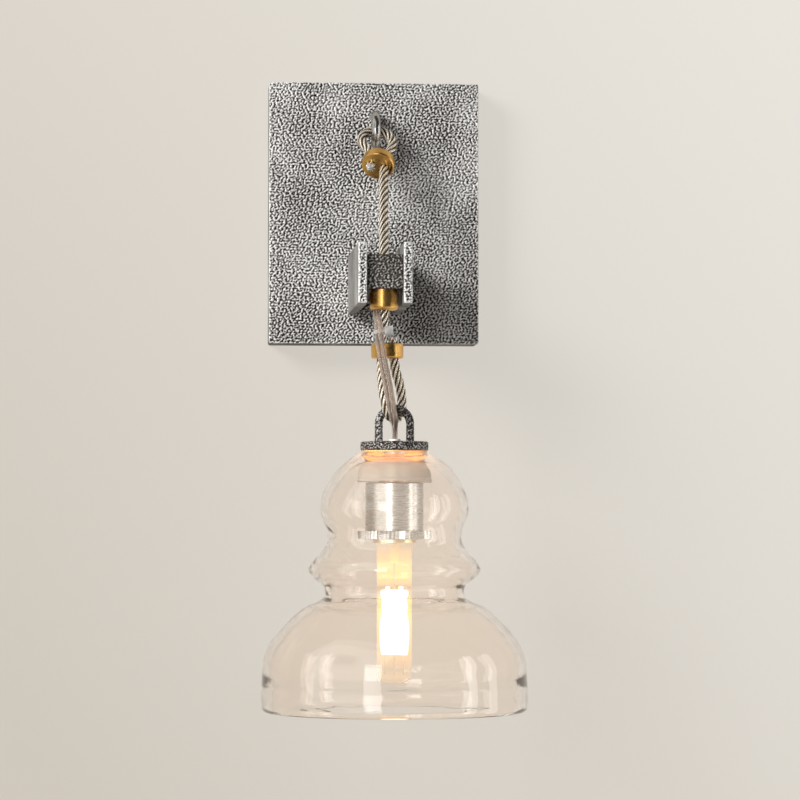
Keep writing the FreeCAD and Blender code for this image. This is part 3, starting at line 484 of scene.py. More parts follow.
class Look:
    """A material being made: its node tree, with short calls to add nodes and join them."""

    def __init__(self, name: str) -> None:
        """Start a material with one shader.

        Args:
            name: The material's name.
        """
        self.material = bpy.data.materials.new(name)
        self.material.use_nodes = True
        self.tree = self.material.node_tree
        self.tree.nodes.clear()
        self.output = self.node("ShaderNodeOutputMaterial")
        self.shader = self.node("ShaderNodeBsdfPrincipled")
        self.join(self.shader.outputs[0], self.output.inputs["Surface"])

    def node(self, kind: str, **settings: object) -> bpy.types.Node:
        """Add a node and set its properties."""
        made = self.tree.nodes.new(kind)
        for name, value in settings.items():
            setattr(made, name, value)
        return made

    def join(self, output: bpy.types.NodeSocket, socket: bpy.types.NodeSocket) -> None:
        """Link an output to an input."""
        self.tree.links.new(output, socket)

    def feed(self, socket: bpy.types.NodeSocket, value: object) -> None:
        """Link a socket, or set its value."""
        if isinstance(value, bpy.types.NodeSocket):
            self.join(value, socket)
        else:
            socket.default_value = value

    def surface(self, **values: object) -> None:
        """Set or link the shader's sockets, named with underscores for spaces."""
        for name, value in values.items():
            self.feed(self.shader.inputs[name.replace("_", " ")], value)

    def places(self, stretch: Place = (1.0, 1.0, 1.0)) -> bpy.types.NodeSocket:
        """Object coordinates, stretched along the axes."""
        mapping = self.node("ShaderNodeMapping")
        mapping.inputs["Scale"].default_value = stretch
        self.join(self.node("ShaderNodeTexCoord").outputs["Object"], mapping.inputs["Vector"])
        return mapping.outputs["Vector"]

    def noise(
        self, scale: float, detail: float = 2.0, roughness: float = 0.5, stretch: Place = (1.0, 1.0, 1.0)
    ) -> bpy.types.NodeSocket:
        """Soft noise at a scale in lumps for each metre."""
        made = self.node("ShaderNodeTexNoise")
        self.join(self.places(stretch), made.inputs["Vector"])
        made.inputs["Scale"].default_value = scale
        made.inputs["Detail"].default_value = detail
        made.inputs["Roughness"].default_value = roughness
        return made.outputs["Fac"]

    def relief(self) -> bpy.types.NodeSocket:
        """The relief stored on the mesh."""
        return self.node("ShaderNodeAttribute", attribute_name=RELIEF).outputs["Fac"]

    def ramp(self, value: bpy.types.NodeSocket, *stops: tuple[float, Colour]) -> bpy.types.NodeSocket:
        """Colours along a value."""
        made = self.node("ShaderNodeValToRGB")
        elements = made.color_ramp.elements
        while len(elements) < len(stops):
            elements.new(1.0)
        for element, (place, colour) in zip(elements, stops):
            element.position = place
            element.color = (*colour, 1.0)
        self.join(value, made.inputs["Fac"])
        return made.outputs["Color"]

    def span(
        self, value: bpy.types.NodeSocket, low: float, high: float, to_low: float, to_high: float
    ) -> bpy.types.NodeSocket:
        """A value moved from one range to another, kept within it."""
        made = self.node("ShaderNodeMapRange")
        self.join(value, made.inputs["Value"])
        for name, number in zip(("From Min", "From Max", "To Min", "To Max"), (low, high, to_low, to_high)):
            made.inputs[name].default_value = number
        return made.outputs["Result"]

    def axes(self) -> Sequence:
        """The three object coordinates, as outputs named X, Y and Z."""
        split = self.node("ShaderNodeSeparateXYZ")
        self.join(self.places(), split.inputs[0])
        return split.outputs

    def mixed(self, share: object, first: object, second: object) -> bpy.types.NodeSocket:
        """Two colours mixed by a share."""
        made = self.node("ShaderNodeMix", data_type="RGBA", blend_type="MIX")
        self.feed(made.inputs[0], share)
        for socket, colour in ((made.inputs[6], first), (made.inputs[7], second)):
            self.feed(socket, colour if isinstance(colour, bpy.types.NodeSocket) else (*colour, 1.0))
        return made.outputs[2]

    def sum(self, kind: str, first: object, second: object) -> bpy.types.NodeSocket:
        """The result of one operation on two numbers."""
        made = self.node("ShaderNodeMath", operation=kind)
        self.feed(made.inputs[0], first)
        self.feed(made.inputs[1], second)
        return made.outputs[0]

    def bump(self, height: bpy.types.NodeSocket, distance: float, strength: float = 1.0) -> None:
        """Let a height stand out of the surface by a distance."""
        made = self.node("ShaderNodeBump")
        made.inputs["Strength"].default_value = strength
        made.inputs["Distance"].default_value = distance
        self.join(height, made.inputs["Height"])
        self.join(made.outputs["Normal"], self.shader.inputs["Normal"])

    def clear_by(self, share: object, tint: Colour = (1.0, 1.0, 1.0)) -> None:
        """Make the surface see-through by a share, and tint what is seen."""
        clear = self.node("ShaderNodeBsdfTransparent")
        clear.inputs["Color"].default_value = (*tint, 1.0)
        mix = self.node("ShaderNodeMixShader")
        self.feed(mix.inputs[0], share)
        self.join(self.shader.outputs[0], mix.inputs[1])
        self.join(clear.outputs[0], mix.inputs[2])
        self.join(mix.outputs[0], self.output.inputs["Surface"])


@dataclass(frozen=True)
class OldSilver:
    """Hammered metal, rubbed bright on its ridges and black in its hollows.

    Attributes:
        name: The material's name.
        hollow: Colour of the hollows.
        flank: Colour half-way up.
        ridge: Colour of the ridges.
        ridge_roughness: Roughness of the ridges.
        grain: How far the fine grain shifts the height.
        patch: How far the broad patches shift it.
    """

    name: str
    hollow: Colour
    flank: Colour
    ridge: Colour
    ridge_roughness: float
    grain: float = 0.16
    patch: float = 0.10

    def make(self) -> bpy.types.Material:
        """Build the material."""
        look = Look(self.name)
        grain = look.noise(1500.0, 3.0, 0.65)
        worn = look.sum("ADD", look.relief(), look.span(grain, 0.3, 0.7, -self.grain, self.grain))
        patches = look.span(look.noise(28.0, 2.0), 0.35, 0.65, -self.patch, self.patch)
        level = look.sum("ADD", worn, patches)
        colour = look.ramp(level, (0.18, self.hollow), (0.5, self.flank), (0.86, self.ridge))
        look.surface(
            Base_Color=colour,
            Metallic=look.span(level, 0.2, 0.6, 0.3, 0.52),
            Roughness=look.span(level, 0.2, 0.9, 0.75, self.ridge_roughness),
        )
        look.bump(grain, 0.00008)
        return look.material


@dataclass(frozen=True)
class Metal:
    """Turned, drawn or brushed metal with fine lines and cloudy stains.

    Attributes:
        name: The material's name.
        colour: Its colour.
        stain: Colour of the stains.
        roughness: Its roughness between the lines.
        lines: Stretch of the lines along the axes.
        line_scale: Lines for each metre.
        stain_scale: Stains for each metre.
        line_depth: Depth of the lines.
    """

    name: str
    colour: Colour
    stain: Colour
    roughness: float
    lines: Place = (1.0, 1.0, 1.0)
    line_scale: float = 900.0
    stain_scale: float = 90.0
    line_depth: float = 0.00003

    def make(self) -> bpy.types.Material:
        """Build the material."""
        look = Look(self.name)
        lines = look.noise(self.line_scale, 3.0, 0.6, self.lines)
        cloud = look.noise(self.stain_scale, 3.0, 0.6)
        share = look.span(cloud, 0.4, 0.72, 0.0, 1.0)
        colour = look.mixed(share, self.colour, self.stain)
        look.surface(
            Base_Color=colour,
            Metallic=1.0,
            Roughness=look.span(lines, 0.3, 0.7, self.roughness * 0.75, self.roughness * 1.3),
        )
        look.bump(lines, self.line_depth)
        return look.material


@dataclass(frozen=True)
class GroovedMetal:
    """Rope of metal strands, with a painted highlight on its crests, painted shade in its grooves, and white
    where it is cut.

    Attributes:
        name: The material's name.
        groove_shade: Colour of the grooves between strands, a painted shade.
        flank: Colour of the strands' sides.
        crest_highlight: Colour of the strands' tops, a painted highlight.
        cut: Colour of the cut end.
        roughness: Its roughness.
    """

    name: str
    groove_shade: Colour
    flank: Colour
    crest_highlight: Colour
    cut: Colour
    roughness: float

    def make(self) -> bpy.types.Material:
        """Build the material."""
        look = Look(self.name)
        grain = look.noise(1500.0, 2.0)
        level = look.sum("ADD", look.relief(), look.span(grain, 0.3, 0.7, -0.012, 0.012))
        # Painted shade and highlight: the colour darkens into the grooves and brightens on the crests
        look.surface(
            Base_Color=look.ramp(
                level,
                (0.60, self.groove_shade), (0.68, self.flank), (0.735, self.flank),
                (0.785, self.crest_highlight), (0.86, self.crest_highlight), (0.95, self.cut),
            ),
            Metallic=0.75,
            Roughness=look.span(grain, 0.3, 0.7, self.roughness * 0.8, self.roughness * 1.3),
        )
        return look.material


@dataclass(frozen=True)
class Plastic:
    """Moulded plastic, ceramic or rubber with a faint grain, which may glow with painted light."""

    name: str
    colour: Colour
    shade: Colour
    roughness: float
    grain_scale: float = 1200.0
    glow: float = 0.0

    def make(self) -> bpy.types.Material:
        """Build the material."""
        look = Look(self.name)
        grain = look.noise(self.grain_scale, 2.0)
        cloud = look.span(look.noise(120.0, 2.0), 0.35, 0.7, 0.0, 1.0)
        look.surface(
            Base_Color=look.mixed(cloud, self.colour, self.shade),
            Roughness=look.span(grain, 0.3, 0.7, self.roughness * 0.85, self.roughness * 1.15),
            Emission_Color=(*self.colour, 1.0), Emission_Strength=self.glow,
        )
        look.bump(grain, 0.00002)
        return look.material


@dataclass(frozen=True)
class Clear:
    """Clear glass or plastic, which may glow between two heights with the bulb's warm light, painted on.

    Attributes:
        name: The material's name.
        colour: Tint of what is seen through a surface.
        roughness: 0 for clear and more for frosted.
        ior: Index of refraction.
        ripple_scale: Ripples for each metre.
        ripple: Depth of the ripples.
        stretch: Stretch of the ripples along the axes.
        shadow: Tint of the light that passes.
        body: Share that scatters light in place of passing it.
        coat: Strength of the mirrored skin.
        painted_warm_light: Places from 0 to 1 between the two heights, each with the painted light given
            there.
        painted_light_low: Height of place 0.
        painted_light_high: Height of place 1.
    """

    name: str
    colour: Colour
    roughness: float
    ior: float
    ripple_scale: float = 60.0
    ripple: float = 0.00002
    stretch: Place = (1.0, 1.0, 1.0)
    shadow: Colour = (0.93, 0.92, 0.90)
    body: float = 0.0
    coat: float = 0.0
    painted_warm_light: Sequence[tuple[float, Colour]] = ()
    painted_light_low: float = 0.0
    painted_light_high: float = 1.0

    def make(self) -> bpy.types.Material:
        """Build the material."""
        look = Look(self.name)
        ripple = look.noise(self.ripple_scale, 2.0, 0.5, self.stretch)
        look.surface(
            Base_Color=(*self.colour, 1.0), Roughness=self.roughness, IOR=self.ior,
            Transmission_Weight=1.0 - self.body, Coat_Weight=self.coat, Coat_IOR=1.6, Coat_Roughness=0.0,
        )
        # Painted light: a warm glow set by height, for the bulb's light on the glass
        if self.painted_warm_light:
            share = look.span(look.axes()["Z"], self.painted_light_low, self.painted_light_high, 0.0, 1.0)
            look.surface(Emission_Color=look.ramp(share, *self.painted_warm_light), Emission_Strength=1.0)
        look.bump(ripple, self.ripple)
        look.clear_by(look.node("ShaderNodeLightPath").outputs["Is Shadow Ray"], self.shadow)
        return look.material


@dataclass(frozen=True)
class Glow:
    """A lit filament."""

    name: str
    colour: Colour
    strength: float

    def make(self) -> bpy.types.Material:
        """Build the material."""
        look = Look(self.name)
        coil = look.noise(1400.0, 1.0)
        colour = look.mixed(look.span(coil, 0.35, 0.65, 0.0, 1.0), self.colour, (1.0, 0.86, 0.6))
        look.surface(
            Base_Color=(1.0, 0.8, 0.5, 1.0), Roughness=0.5,
            Emission_Color=colour, Emission_Strength=self.strength,
        )
        return look.material


@dataclass(frozen=True)
class Haze:
    """The glare of lit filaments, which hides what is behind it."""

    name: str
    colour: Colour
    strength: float
    clear: float

    def make(self) -> bpy.types.Material:
        """Build the material."""
        look = Look(self.name)
        look.surface(
            Base_Color=(1.0, 0.9, 0.7, 1.0), Roughness=0.6,
            Emission_Color=(*self.colour, 1.0), Emission_Strength=self.strength,
        )
        look.clear_by(self.clear)
        return look.material


@dataclass(frozen=True)
class Wallpaint:
    """Pale matt paint on the wall and floor, seen only from its front.

    Its own glow is painted light: it shows to the camera, in metal and through glass, and lights nothing. Its
    colour brightens up to the right as painted light.

    Attributes:
        name: The material's name.
        colour: Colour down on the left, where the painted light is dimmest.
        brighter_lit_colour: Colour up on the right, where the painted light is brightest.
        painted_glow: Strength of its own painted light.
        rise: How much a metre up counts against a metre to the right.
        reach: Distance from the middle at which each colour is full.
    """

    name: str
    colour: Colour
    brighter_lit_colour: Colour
    painted_glow: float
    rise: float = 0.6
    reach: float = 0.42

    def make(self) -> bpy.types.Material:
        """Build the material."""
        look = Look(self.name)
        axes = look.axes()
        # Painted light: the colour brightens to the right and upwards
        slant = look.sum("ADD", axes["X"], look.sum("MULTIPLY", axes["Z"], self.rise))
        share = look.span(slant, -self.reach, self.reach, 0.0, 1.0)
        paint_and_light_colour = look.mixed(share, self.colour, self.brighter_lit_colour)
        # Painted light: the wall glows, but only to the camera, in metal and through glass
        path = look.node("ShaderNodeLightPath").outputs
        mirrored = look.sum("MAXIMUM", path["Is Glossy Ray"], path["Is Transmission Ray"])
        seen = look.sum("MAXIMUM", path["Is Camera Ray"], mirrored)
        look.surface(
            Base_Color=paint_and_light_colour, Roughness=0.9, Emission_Color=paint_and_light_colour,
            Emission_Strength=look.sum("MULTIPLY", seen, self.painted_glow),
        )
        look.bump(look.noise(400.0, 3.0), 0.00005, 0.3)
        look.clear_by(look.node("ShaderNodeNewGeometry").outputs["Backfacing"])
        return look.material


FINISHES = {
    "hammered_plate": OldSilver(
        "hammered_plate", (0.009, 0.006, 0.005), (0.35, 0.34, 0.33), (1.0, 1.0, 1.0), 0.38
    ),
    "hammered_steel": OldSilver(
        "hammered_steel", (0.022, 0.016, 0.012), (0.085, 0.072, 0.062), (0.66, 0.65, 0.65), 0.40
    ),
    "bright_steel": Metal("bright_steel", (0.50, 0.49, 0.47), (0.36, 0.34, 0.32), 0.24, line_scale=700.0),
    "zinc_steel": Metal("zinc_steel", (0.62, 0.62, 0.60), (0.48, 0.47, 0.44), 0.42),
    "rope_steel": GroovedMetal(
        "rope_steel", (0.016, 0.009, 0.005), (0.30, 0.21, 0.12), (1.0, 0.96, 0.87), (0.72, 0.71, 0.69), 0.25
    ),
    "ferrule_brass": Metal(
        "ferrule_brass", (0.74, 0.44, 0.13), (0.54, 0.29, 0.08), 0.30, line_scale=300.0, line_depth=0.000006
    ),
    "contact_brass": Metal("contact_brass", (0.80, 0.58, 0.26), (0.62, 0.42, 0.18), 0.3),
    "clear_lead": Clear(
        "clear_lead", (0.80, 0.73, 0.67), 0.14, 1.33, 500.0, 0.00004, shadow=(0.7, 0.66, 0.63), body=0.15
    ),
    "copper_core": Metal("copper_core", (0.30, 0.21, 0.15), (0.22, 0.15, 0.11), 0.35, line_scale=2500.0),
    "clear_tie": Clear(
        "clear_tie", (0.78, 0.78, 0.79), 0.3, 1.3, 700.0, 0.00004, shadow=(0.85, 0.84, 0.82), body=0.16
    ),
    "white_plastic": Plastic("white_plastic", (0.90, 0.89, 0.86), (0.84, 0.82, 0.78), 0.35),
    "connector_plastic": Plastic("connector_plastic", (0.85, 0.62, 0.12), (0.78, 0.54, 0.10), 0.4),
    # The gasket's glow is painted light of the bulb under the cap
    "amber_gasket": Plastic("amber_gasket", (0.92, 0.55, 0.27), (0.84, 0.46, 0.20), 0.5, glow=0.5),
    "shade_glass": Clear(
        "shade_glass", (0.965, 0.925, 0.886), 0.0, 1.18, 45.0, 0.00008, (0.6, 0.6, 4.5), coat=0.55,
        # Painted light of the bulb on the glass, strongest just under the cap
        painted_warm_light=(
            (0.0, (0.006, 0.004, 0.002)), (0.4, (0.016, 0.008, 0.003)), (0.65, (0.012, 0.007, 0.003)),
            (0.90, (0.008, 0.004, 0.002)), (0.97, (0.05, 0.024, 0.009)), (0.99, (0.17, 0.09, 0.04)),
        ),
        painted_light_low=-0.31, painted_light_high=-0.1534,
    ),
    "frosted_plastic": Clear("frosted_plastic", (0.78, 0.74, 0.70), 0.5, 1.2, 900.0, 0.00003, body=0.14),
    "spun_aluminium": Metal(
        "spun_aluminium", (0.56, 0.56, 0.55), (0.46, 0.46, 0.45), 0.27,
        lines=(0.4, 0.4, 9.0), line_scale=260.0, line_depth=0.00001,
    ),
    "ceramic": Plastic("ceramic", (0.88, 0.86, 0.81), (0.82, 0.79, 0.73), 0.25),
    "bulb_glass": Clear(
        "bulb_glass", (1.0, 0.975, 0.93), 0.0, 1.06, 50.0, 0.00002, shadow=(0.98, 0.93, 0.85),
        # Painted light: the glow round the lit filaments, on the bulb's glass
        painted_warm_light=(
            (0.0, (0.03, 0.018, 0.006)), (0.14, (0.025, 0.013, 0.004)), (0.24, (0.10, 0.05, 0.012)),
            (0.55, (0.26, 0.13, 0.02)), (0.68, (0.03, 0.014, 0.003)), (0.78, (0.20, 0.10, 0.018)),
            (0.86, (0.14, 0.07, 0.014)), (0.94, (0.02, 0.012, 0.004)),
        ),
        painted_light_low=-0.297, painted_light_high=-0.206,
    ),
    "bulb_metal": Metal("bulb_metal", (0.80, 0.70, 0.52), (0.70, 0.58, 0.40), 0.3),
    "filament_glow": Glow("filament_glow", (1.0, 0.66, 0.28), 2.6),
    "filament_wire": Metal("filament_wire", (0.60, 0.58, 0.56), (0.45, 0.43, 0.42), 0.4),
}
HAZE = Haze("filament_haze", (1.0, 0.90, 0.66), 1.45, 0.15)


class Workshop:
    """Hands out finishes and fixes finished pieces to the sconce."""

    def __init__(self, frame: dict) -> None:
        """Make every finish once and dress the parts that stay as they are.
        """
        self.frame = frame
        self.materials = {slot: finish.make() for slot, finish in FINISHES.items()}
        for node, slot in self.slots().items():
            data = frame["nodes"][node].data
            data.materials.clear()
            data.materials.append(self.materials[slot])

    def slots(self) -> dict[str, str]:
        """The material slot of each node in the record."""
        return {entry["node"]: entry["material_slot"] for entry in self.frame["record"]["subparts"]}

    def fix(
        self, obj: bpy.types.Object, slot: str, body: Body, nodes: Sequence[str] = (), angle: float = 35.0
    ) -> None:
        """Finish a piece and let it ride on its body.

        Args:
            obj: The new piece.
            slot: The record's material slot.
            body: The moving group that carries it.
            nodes: The parts that it stands for.
            angle: Edges flatter than this are smooth.
        """
        obj.data.materials.clear()
        obj.data.materials.append(self.materials[slot])
        smooth(obj, angle)
        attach(obj, body.value)
        if nodes:
            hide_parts(*nodes)
        LOG.info("piece %s: %d faces on %s", obj.name, len(obj.data.polygons), body.value)


@dataclass
class HammeredBlock:
    """A bar or pan whose front face is a field of worm-like ridges.

    Attributes:
        name: The piece's name.
        low: Its lowest corner.
        high: Its highest corner.
        edge: Radius of the front edges.
        corner: Radius of the corners seen from the front.
        pitch: Size of the front face's squares.
        depth: Height of the ridges over the hollows.
        wall: Wall thickness of a pan that is open at the back, or 0 for a solid bar.
        floor: Thickness of the pan's front.
        side_shade: Brightness of the sides, as a height; a painted shade on the plain sides.
        crispness: How steep the ridges' sides are.
    """

    name: str
    low: Vector
    high: Vector
    edge: float
    corner: float
    pitch: float
    depth: float
    wall: float = 0.0
    floor: float = 0.0
    side_shade: float = 0.5
    crispness: float = 1.0

    def ring(self, inset: float, y: float) -> None:
        """Extrude the selected rim to an inset from the outside and a place along Y."""
        middle = (self.low + self.high) / 2
        half = (self.high - self.low) / 2
        bpy.ops.mesh.extrude_region()
        now = self.rim_inset
        bpy.ops.transform.resize(
            value=((half.x - inset) / (half.x - now), 1.0, (half.z - inset) / (half.z - now)),
            center_override=middle[:],
        )
        bpy.ops.transform.translate(value=(0.0, y - self.rim_y, 0.0))
        self.rim_inset = inset
        self.rim_y = y

    def build(self) -> bpy.types.Object:
        """Model the block.

        Returns:
            The new object, still smooth.
        """
        middle = (self.low + self.high) / 2
        half = (self.high - self.low) / 2
        front = self.low.y
        across = max(2, round(2 * (half.x - self.edge) / self.pitch))
        upwards = max(2, round(2 * (half.z - self.edge) / self.pitch))
        clear_selection()
        bpy.ops.mesh.primitive_grid_add(
            x_subdivisions=across, y_subdivisions=upwards, size=1.0,
            location=(middle.x, front, middle.z), rotation=(math.pi / 2, 0.0, 0.0),
        )
        obj = bpy.context.object
        obj.name = obj.data.name = self.name
        obj.scale = (2 * (half.x - self.edge), 2 * (half.z - self.edge), 1.0)
        apply_place(obj)
        enter_edit(obj)
        bpy.ops.mesh.select_mode(type="EDGE")
        bpy.ops.mesh.select_all(action="DESELECT")
        bpy.ops.mesh.select_non_manifold()
        self.rim_inset, self.rim_y = self.edge, front
        for k in range(1, EDGE_STEPS + 1):
            turn = math.pi / 2 * k / EDGE_STEPS
            self.ring(self.edge * (1 - math.sin(turn)), front + self.edge * (1 - math.cos(turn)))
        self.ring(0.0, self.high.y)
        if self.wall:
            self.ring(self.wall, self.high.y)
            self.ring(self.wall, front + self.floor)
        bpy.ops.mesh.edge_face_add()
        leave_edit()
        self.round_corners(obj, middle, half)
        return obj

    def round_corners(self, obj: bpy.types.Object, middle: Vector, half: Vector) -> None:
        """Draw the square corners in to their radius."""
        places = places_of(obj)
        for sign_x in (-1, 1):
            for sign_z in (-1, 1):
                centre = np.array(
                    [middle.x + sign_x * (half.x - self.corner), middle.z + sign_z * (half.z - self.corner)]
                )
                offset = places[:, [0, 2]] - centre
                inside = (offset[:, 0] * sign_x > 0) & (offset[:, 1] * sign_z > 0)
                square = np.abs(offset).max(axis=1)
                length = np.linalg.norm(offset, axis=1)
                share = np.where(length > 0, square / np.maximum(length, TINY), 1.0)
                moved = centre + offset * share[:, None]
                places[inside, 0] = moved[inside, 0]
                places[inside, 2] = moved[inside, 1]
        set_places(obj, places)

    def hammer(self, obj: bpy.types.Object, rim: float = 0.0, highlight_lift: float = 0.0) -> bpy.types.Object:
        """Sink the hollows between the ridges into the front.

        Args:
            obj: The built block.
            rim: Width of the band along the front's edges that gets a painted highlight.
            highlight_lift: How much brighter that painted highlight is.

        Returns:
            The same object, with its relief stored.
        """
        places = places_of(obj)
        heights = Vermiculation(crispness=self.crispness).heights(places, flat_axis=1)
        facing = np.clip(1 - (places[:, 1] - self.low.y) / self.edge, 0.0, 1.0)
        # Painted highlight: the band along the front's edges is raised towards ridge height and ridge colour
        if rim:
            inside = np.minimum.reduce(
                [
                    places[:, 0] - self.low.x, self.high.x - places[:, 0],
                    places[:, 2] - self.low.z, self.high.z - places[:, 2],
                ]
            )
            heights = np.clip(heights + highlight_lift * np.clip(1.4 - inside / rim, 0.0, 1.0), 0.0, 1.0)
        places[:, 1] += self.depth * (1 - heights) * facing
        set_places(obj, places)
        # The plain sides get one flat level, a painted shade
        paint(obj, facing * heights + (1 - facing) * self.side_shade)
        return obj


class WallPlate:
    """The hammered pan on the wall."""

    front_pitch: float = 0.0005
    ridge_depth: float = 0.00045
    edge: float = 0.0008
    corner: float = 0.0016
    wall: float = 0.002
    floor: float = 0.003
    # side_shade is the painted shade on the pan's plain sides
    side_shade: float = 0.42
    # rim and rim_highlight: width and strength of the painted highlight along the front's edges
    rim: float = 0.0006
    rim_highlight: float = 0.45

    def __init__(self, workshop: Workshop) -> None:
        """Model and fix the pan.

        Args:
            workshop: Hands out the finishes.
        """
        low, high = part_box("backplate")
        pan = HammeredBlock(
            "wall_pan", low, high, self.edge, self.corner, self.front_pitch, self.ridge_depth,
            wall=self.wall, floor=self.floor, side_shade=self.side_shade,
        )
        plate = pan.hammer(pan.build(), rim=self.rim, highlight_lift=self.rim_highlight)
        workshop.fix(plate, "hammered_plate", Body.WALL, ["backplate"], BLOCK_ANGLE)


class Arm:
    """Two hammered cheeks with a hollow block between them."""

    cheek_pitch: float = 0.0004
    cheek_edge: float = 0.0009
    cheek_ridges: float = 0.00035
    # cheek_shade is the painted shade on the cheeks' plain sides
    cheek_shade: float = 0.42
    # rim and rim_highlight: width and strength of the painted highlight along the cheeks' front edges
    rim: float = 0.0011
    rim_highlight: float = 0.5
    block_edge: float = 0.0008
    block_ridges: float = 0.00022
    # block_shade is the painted shade on the block's plain sides
    block_shade: float = 0.3
    block_crispness: float = 0.55
    block_wall: float = 0.003
    bore_sides: int = 48
    drop_y: float = -0.109
    bushing_bore: float = 0.0081
    slot_radius: float = 0.0039
    slot_front: float = -0.1057
    slot_stretch: float = 0.00587
    hollow_front: float = -0.1135
    hollow_bottom: float = -0.0524
    hollow_top: float = -0.0384

    def __init__(self, workshop: Workshop) -> None:
        """Model and fix the cheeks and the block.

        Args:
            workshop: Hands out the finishes.
        """
        for node in ("arm_left_cheek", "arm_right_cheek"):
            low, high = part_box(node)
            bar = HammeredBlock(
                node.replace("arm_", "") + "_bar", low, high, self.cheek_edge, self.cheek_edge,
                self.cheek_pitch, self.cheek_ridges, side_shade=self.cheek_shade,
            )
            cheek = bar.hammer(bar.build(), rim=self.rim, highlight_lift=self.rim_highlight)
            workshop.fix(cheek, "hammered_plate", Body.WALL, [node], BLOCK_ANGLE)
        self.block(workshop)

    def block(self, workshop: Workshop) -> None:
        """Model the block, with its slot for the rope and its hollow for the lead.

        Args:
            workshop: Hands out the finishes.
        """
        low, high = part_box("arm_block")
        bar = HammeredBlock(
            "arm_middle", low, high, self.block_edge, self.block_edge, self.cheek_pitch, self.block_ridges,
            side_shade=self.block_shade, crispness=self.block_crispness,
        )
        block = bar.build()
        middle_z = (low.z + high.z) / 2
        half = high.x - self.block_wall
        hollow_low = (-half, self.hollow_front, self.hollow_bottom)
        cut(block, cylinder(self.bushing_bore, self.bore_sides, 0.0, self.drop_y, low.z - PAST, middle_z))
        cut(block, self.slot(middle_z, high.z + PAST))
        cut(block, boxed(hollow_low, (half, high.y + PAST, self.hollow_top)))
        workshop.fix(bar.hammer(block), "hammered_steel", Body.WALL, ["arm_block"], BLOCK_ANGLE)

    def slot(self, bottom: float, top: float) -> bpy.types.Object:
        """A cutter for the rope's slot, which is round at both ends."""
        cutter = cylinder(self.slot_radius, self.bore_sides, 0.0, self.slot_front, bottom, top)
        places = places_of(cutter)
        places[places[:, 1] > self.slot_front + TINY, 1] += self.slot_stretch
        set_places(cutter, places)
        return cutter


@dataclass
class HammeredIron:
    """The shackle and the disc that it stands in.

    Attributes:
        axis: A point on the shade's axis.
        crown: Height of the shackle's middle line at its top.
        arch: Radius of the shackle's middle line.
        bar: Radius of the shackle's bar.
        legs: Depth to which its legs go into the disc.
        pitch: Size of the faces.
        depth: Height of the ridges over the hollows.
        edge: Radius of the disc's edges.
        hole_sides: Sides of a hole in the disc.
    """

    axis: Vector
    crown: float = -0.127
    arch: float = 0.0095
    bar: float = 0.0025
    legs: float = -0.1514
    pitch: float = 0.00045
    depth: float = 0.00018
    edge: float = 0.0012
    hole_sides: int = 40

    def hammer(self, obj: bpy.types.Object) -> None:
        """Sink hollows into the whole surface and store its relief."""
        places = places_of(obj)
        heights = Vermiculation(period=0.0013, crispness=0.9, seed=19).heights(places)
        places -= normals_of(obj) * (self.depth * (1 - heights))[:, None]
        set_places(obj, places)
        paint(obj, heights)

    def shackle(self) -> bpy.types.Object:
        """Model the U of round bar, from the foot of one leg to the foot of the other."""
        spring_z = self.crown - self.arch
        sides = round(math.tau * self.bar / self.pitch)
        steps = round((spring_z - self.legs) / self.pitch)
        clear_selection()
        bpy.ops.mesh.primitive_circle_add(
            vertices=sides, radius=self.bar, fill_type="NGON",
            location=(self.axis.x - self.arch, self.axis.y, self.legs),
        )
        obj = bpy.context.object
        obj.name = obj.data.name = "shackle_bar"
        apply_place(obj)
        enter_edit(obj)
        climb = (spring_z - self.legs) / steps
        for _ in range(steps):
            bpy.ops.mesh.extrude_region_move(TRANSFORM_OT_translate={"value": (0.0, 0.0, climb)})
        bpy.ops.mesh.spin(
            steps=round(math.pi * self.arch / self.pitch), angle=-math.pi,
            center=(self.axis.x, self.axis.y, spring_z), axis=(0.0, 1.0, 0.0),
        )
        for _ in range(steps):
            bpy.ops.mesh.extrude_region_move(TRANSFORM_OT_translate={"value": (0.0, 0.0, -climb)})
        leave_edit()
        tidy_mesh(obj)
        self.hammer(obj)
        return obj

    def disc(self, low: Vector, high: Vector, holes: Sequence[tuple[float, ...]]) -> bpy.types.Object:
        """Model the disc, with its holes.

        Args:
            low: Its lowest corner.
            high: Its highest corner.
            holes: Radius, x, y, bottom and top of each hole.

        Returns:
            The new object, with its relief stored.
        """
        edge = self.edge
        radius = (high.x - low.x) / 2
        flat, shoulder = radius - edge, high.z - edge
        turns = [math.pi / 2 * k / EDGE_STEPS for k in range(EDGE_STEPS + 1)]
        line = [(0.0, low.z)]
        line += [(flat + edge * math.sin(turn), low.z + edge * (1 - math.cos(turn))) for turn in turns]
        line += [(flat + edge * math.cos(turn), shoulder + edge * math.sin(turn)) for turn in turns]
        line.append((0.0, high.z))
        steps = round(math.tau * radius / self.pitch)
        obj = lathe("shade_cap", dense_line(line, self.pitch), steps, self.axis)
        self.hammer(obj)
        for hole_radius, x, y, bottom, top in holes:
            cut(obj, cylinder(hole_radius, self.hole_sides, x, y, bottom, top))
        return obj


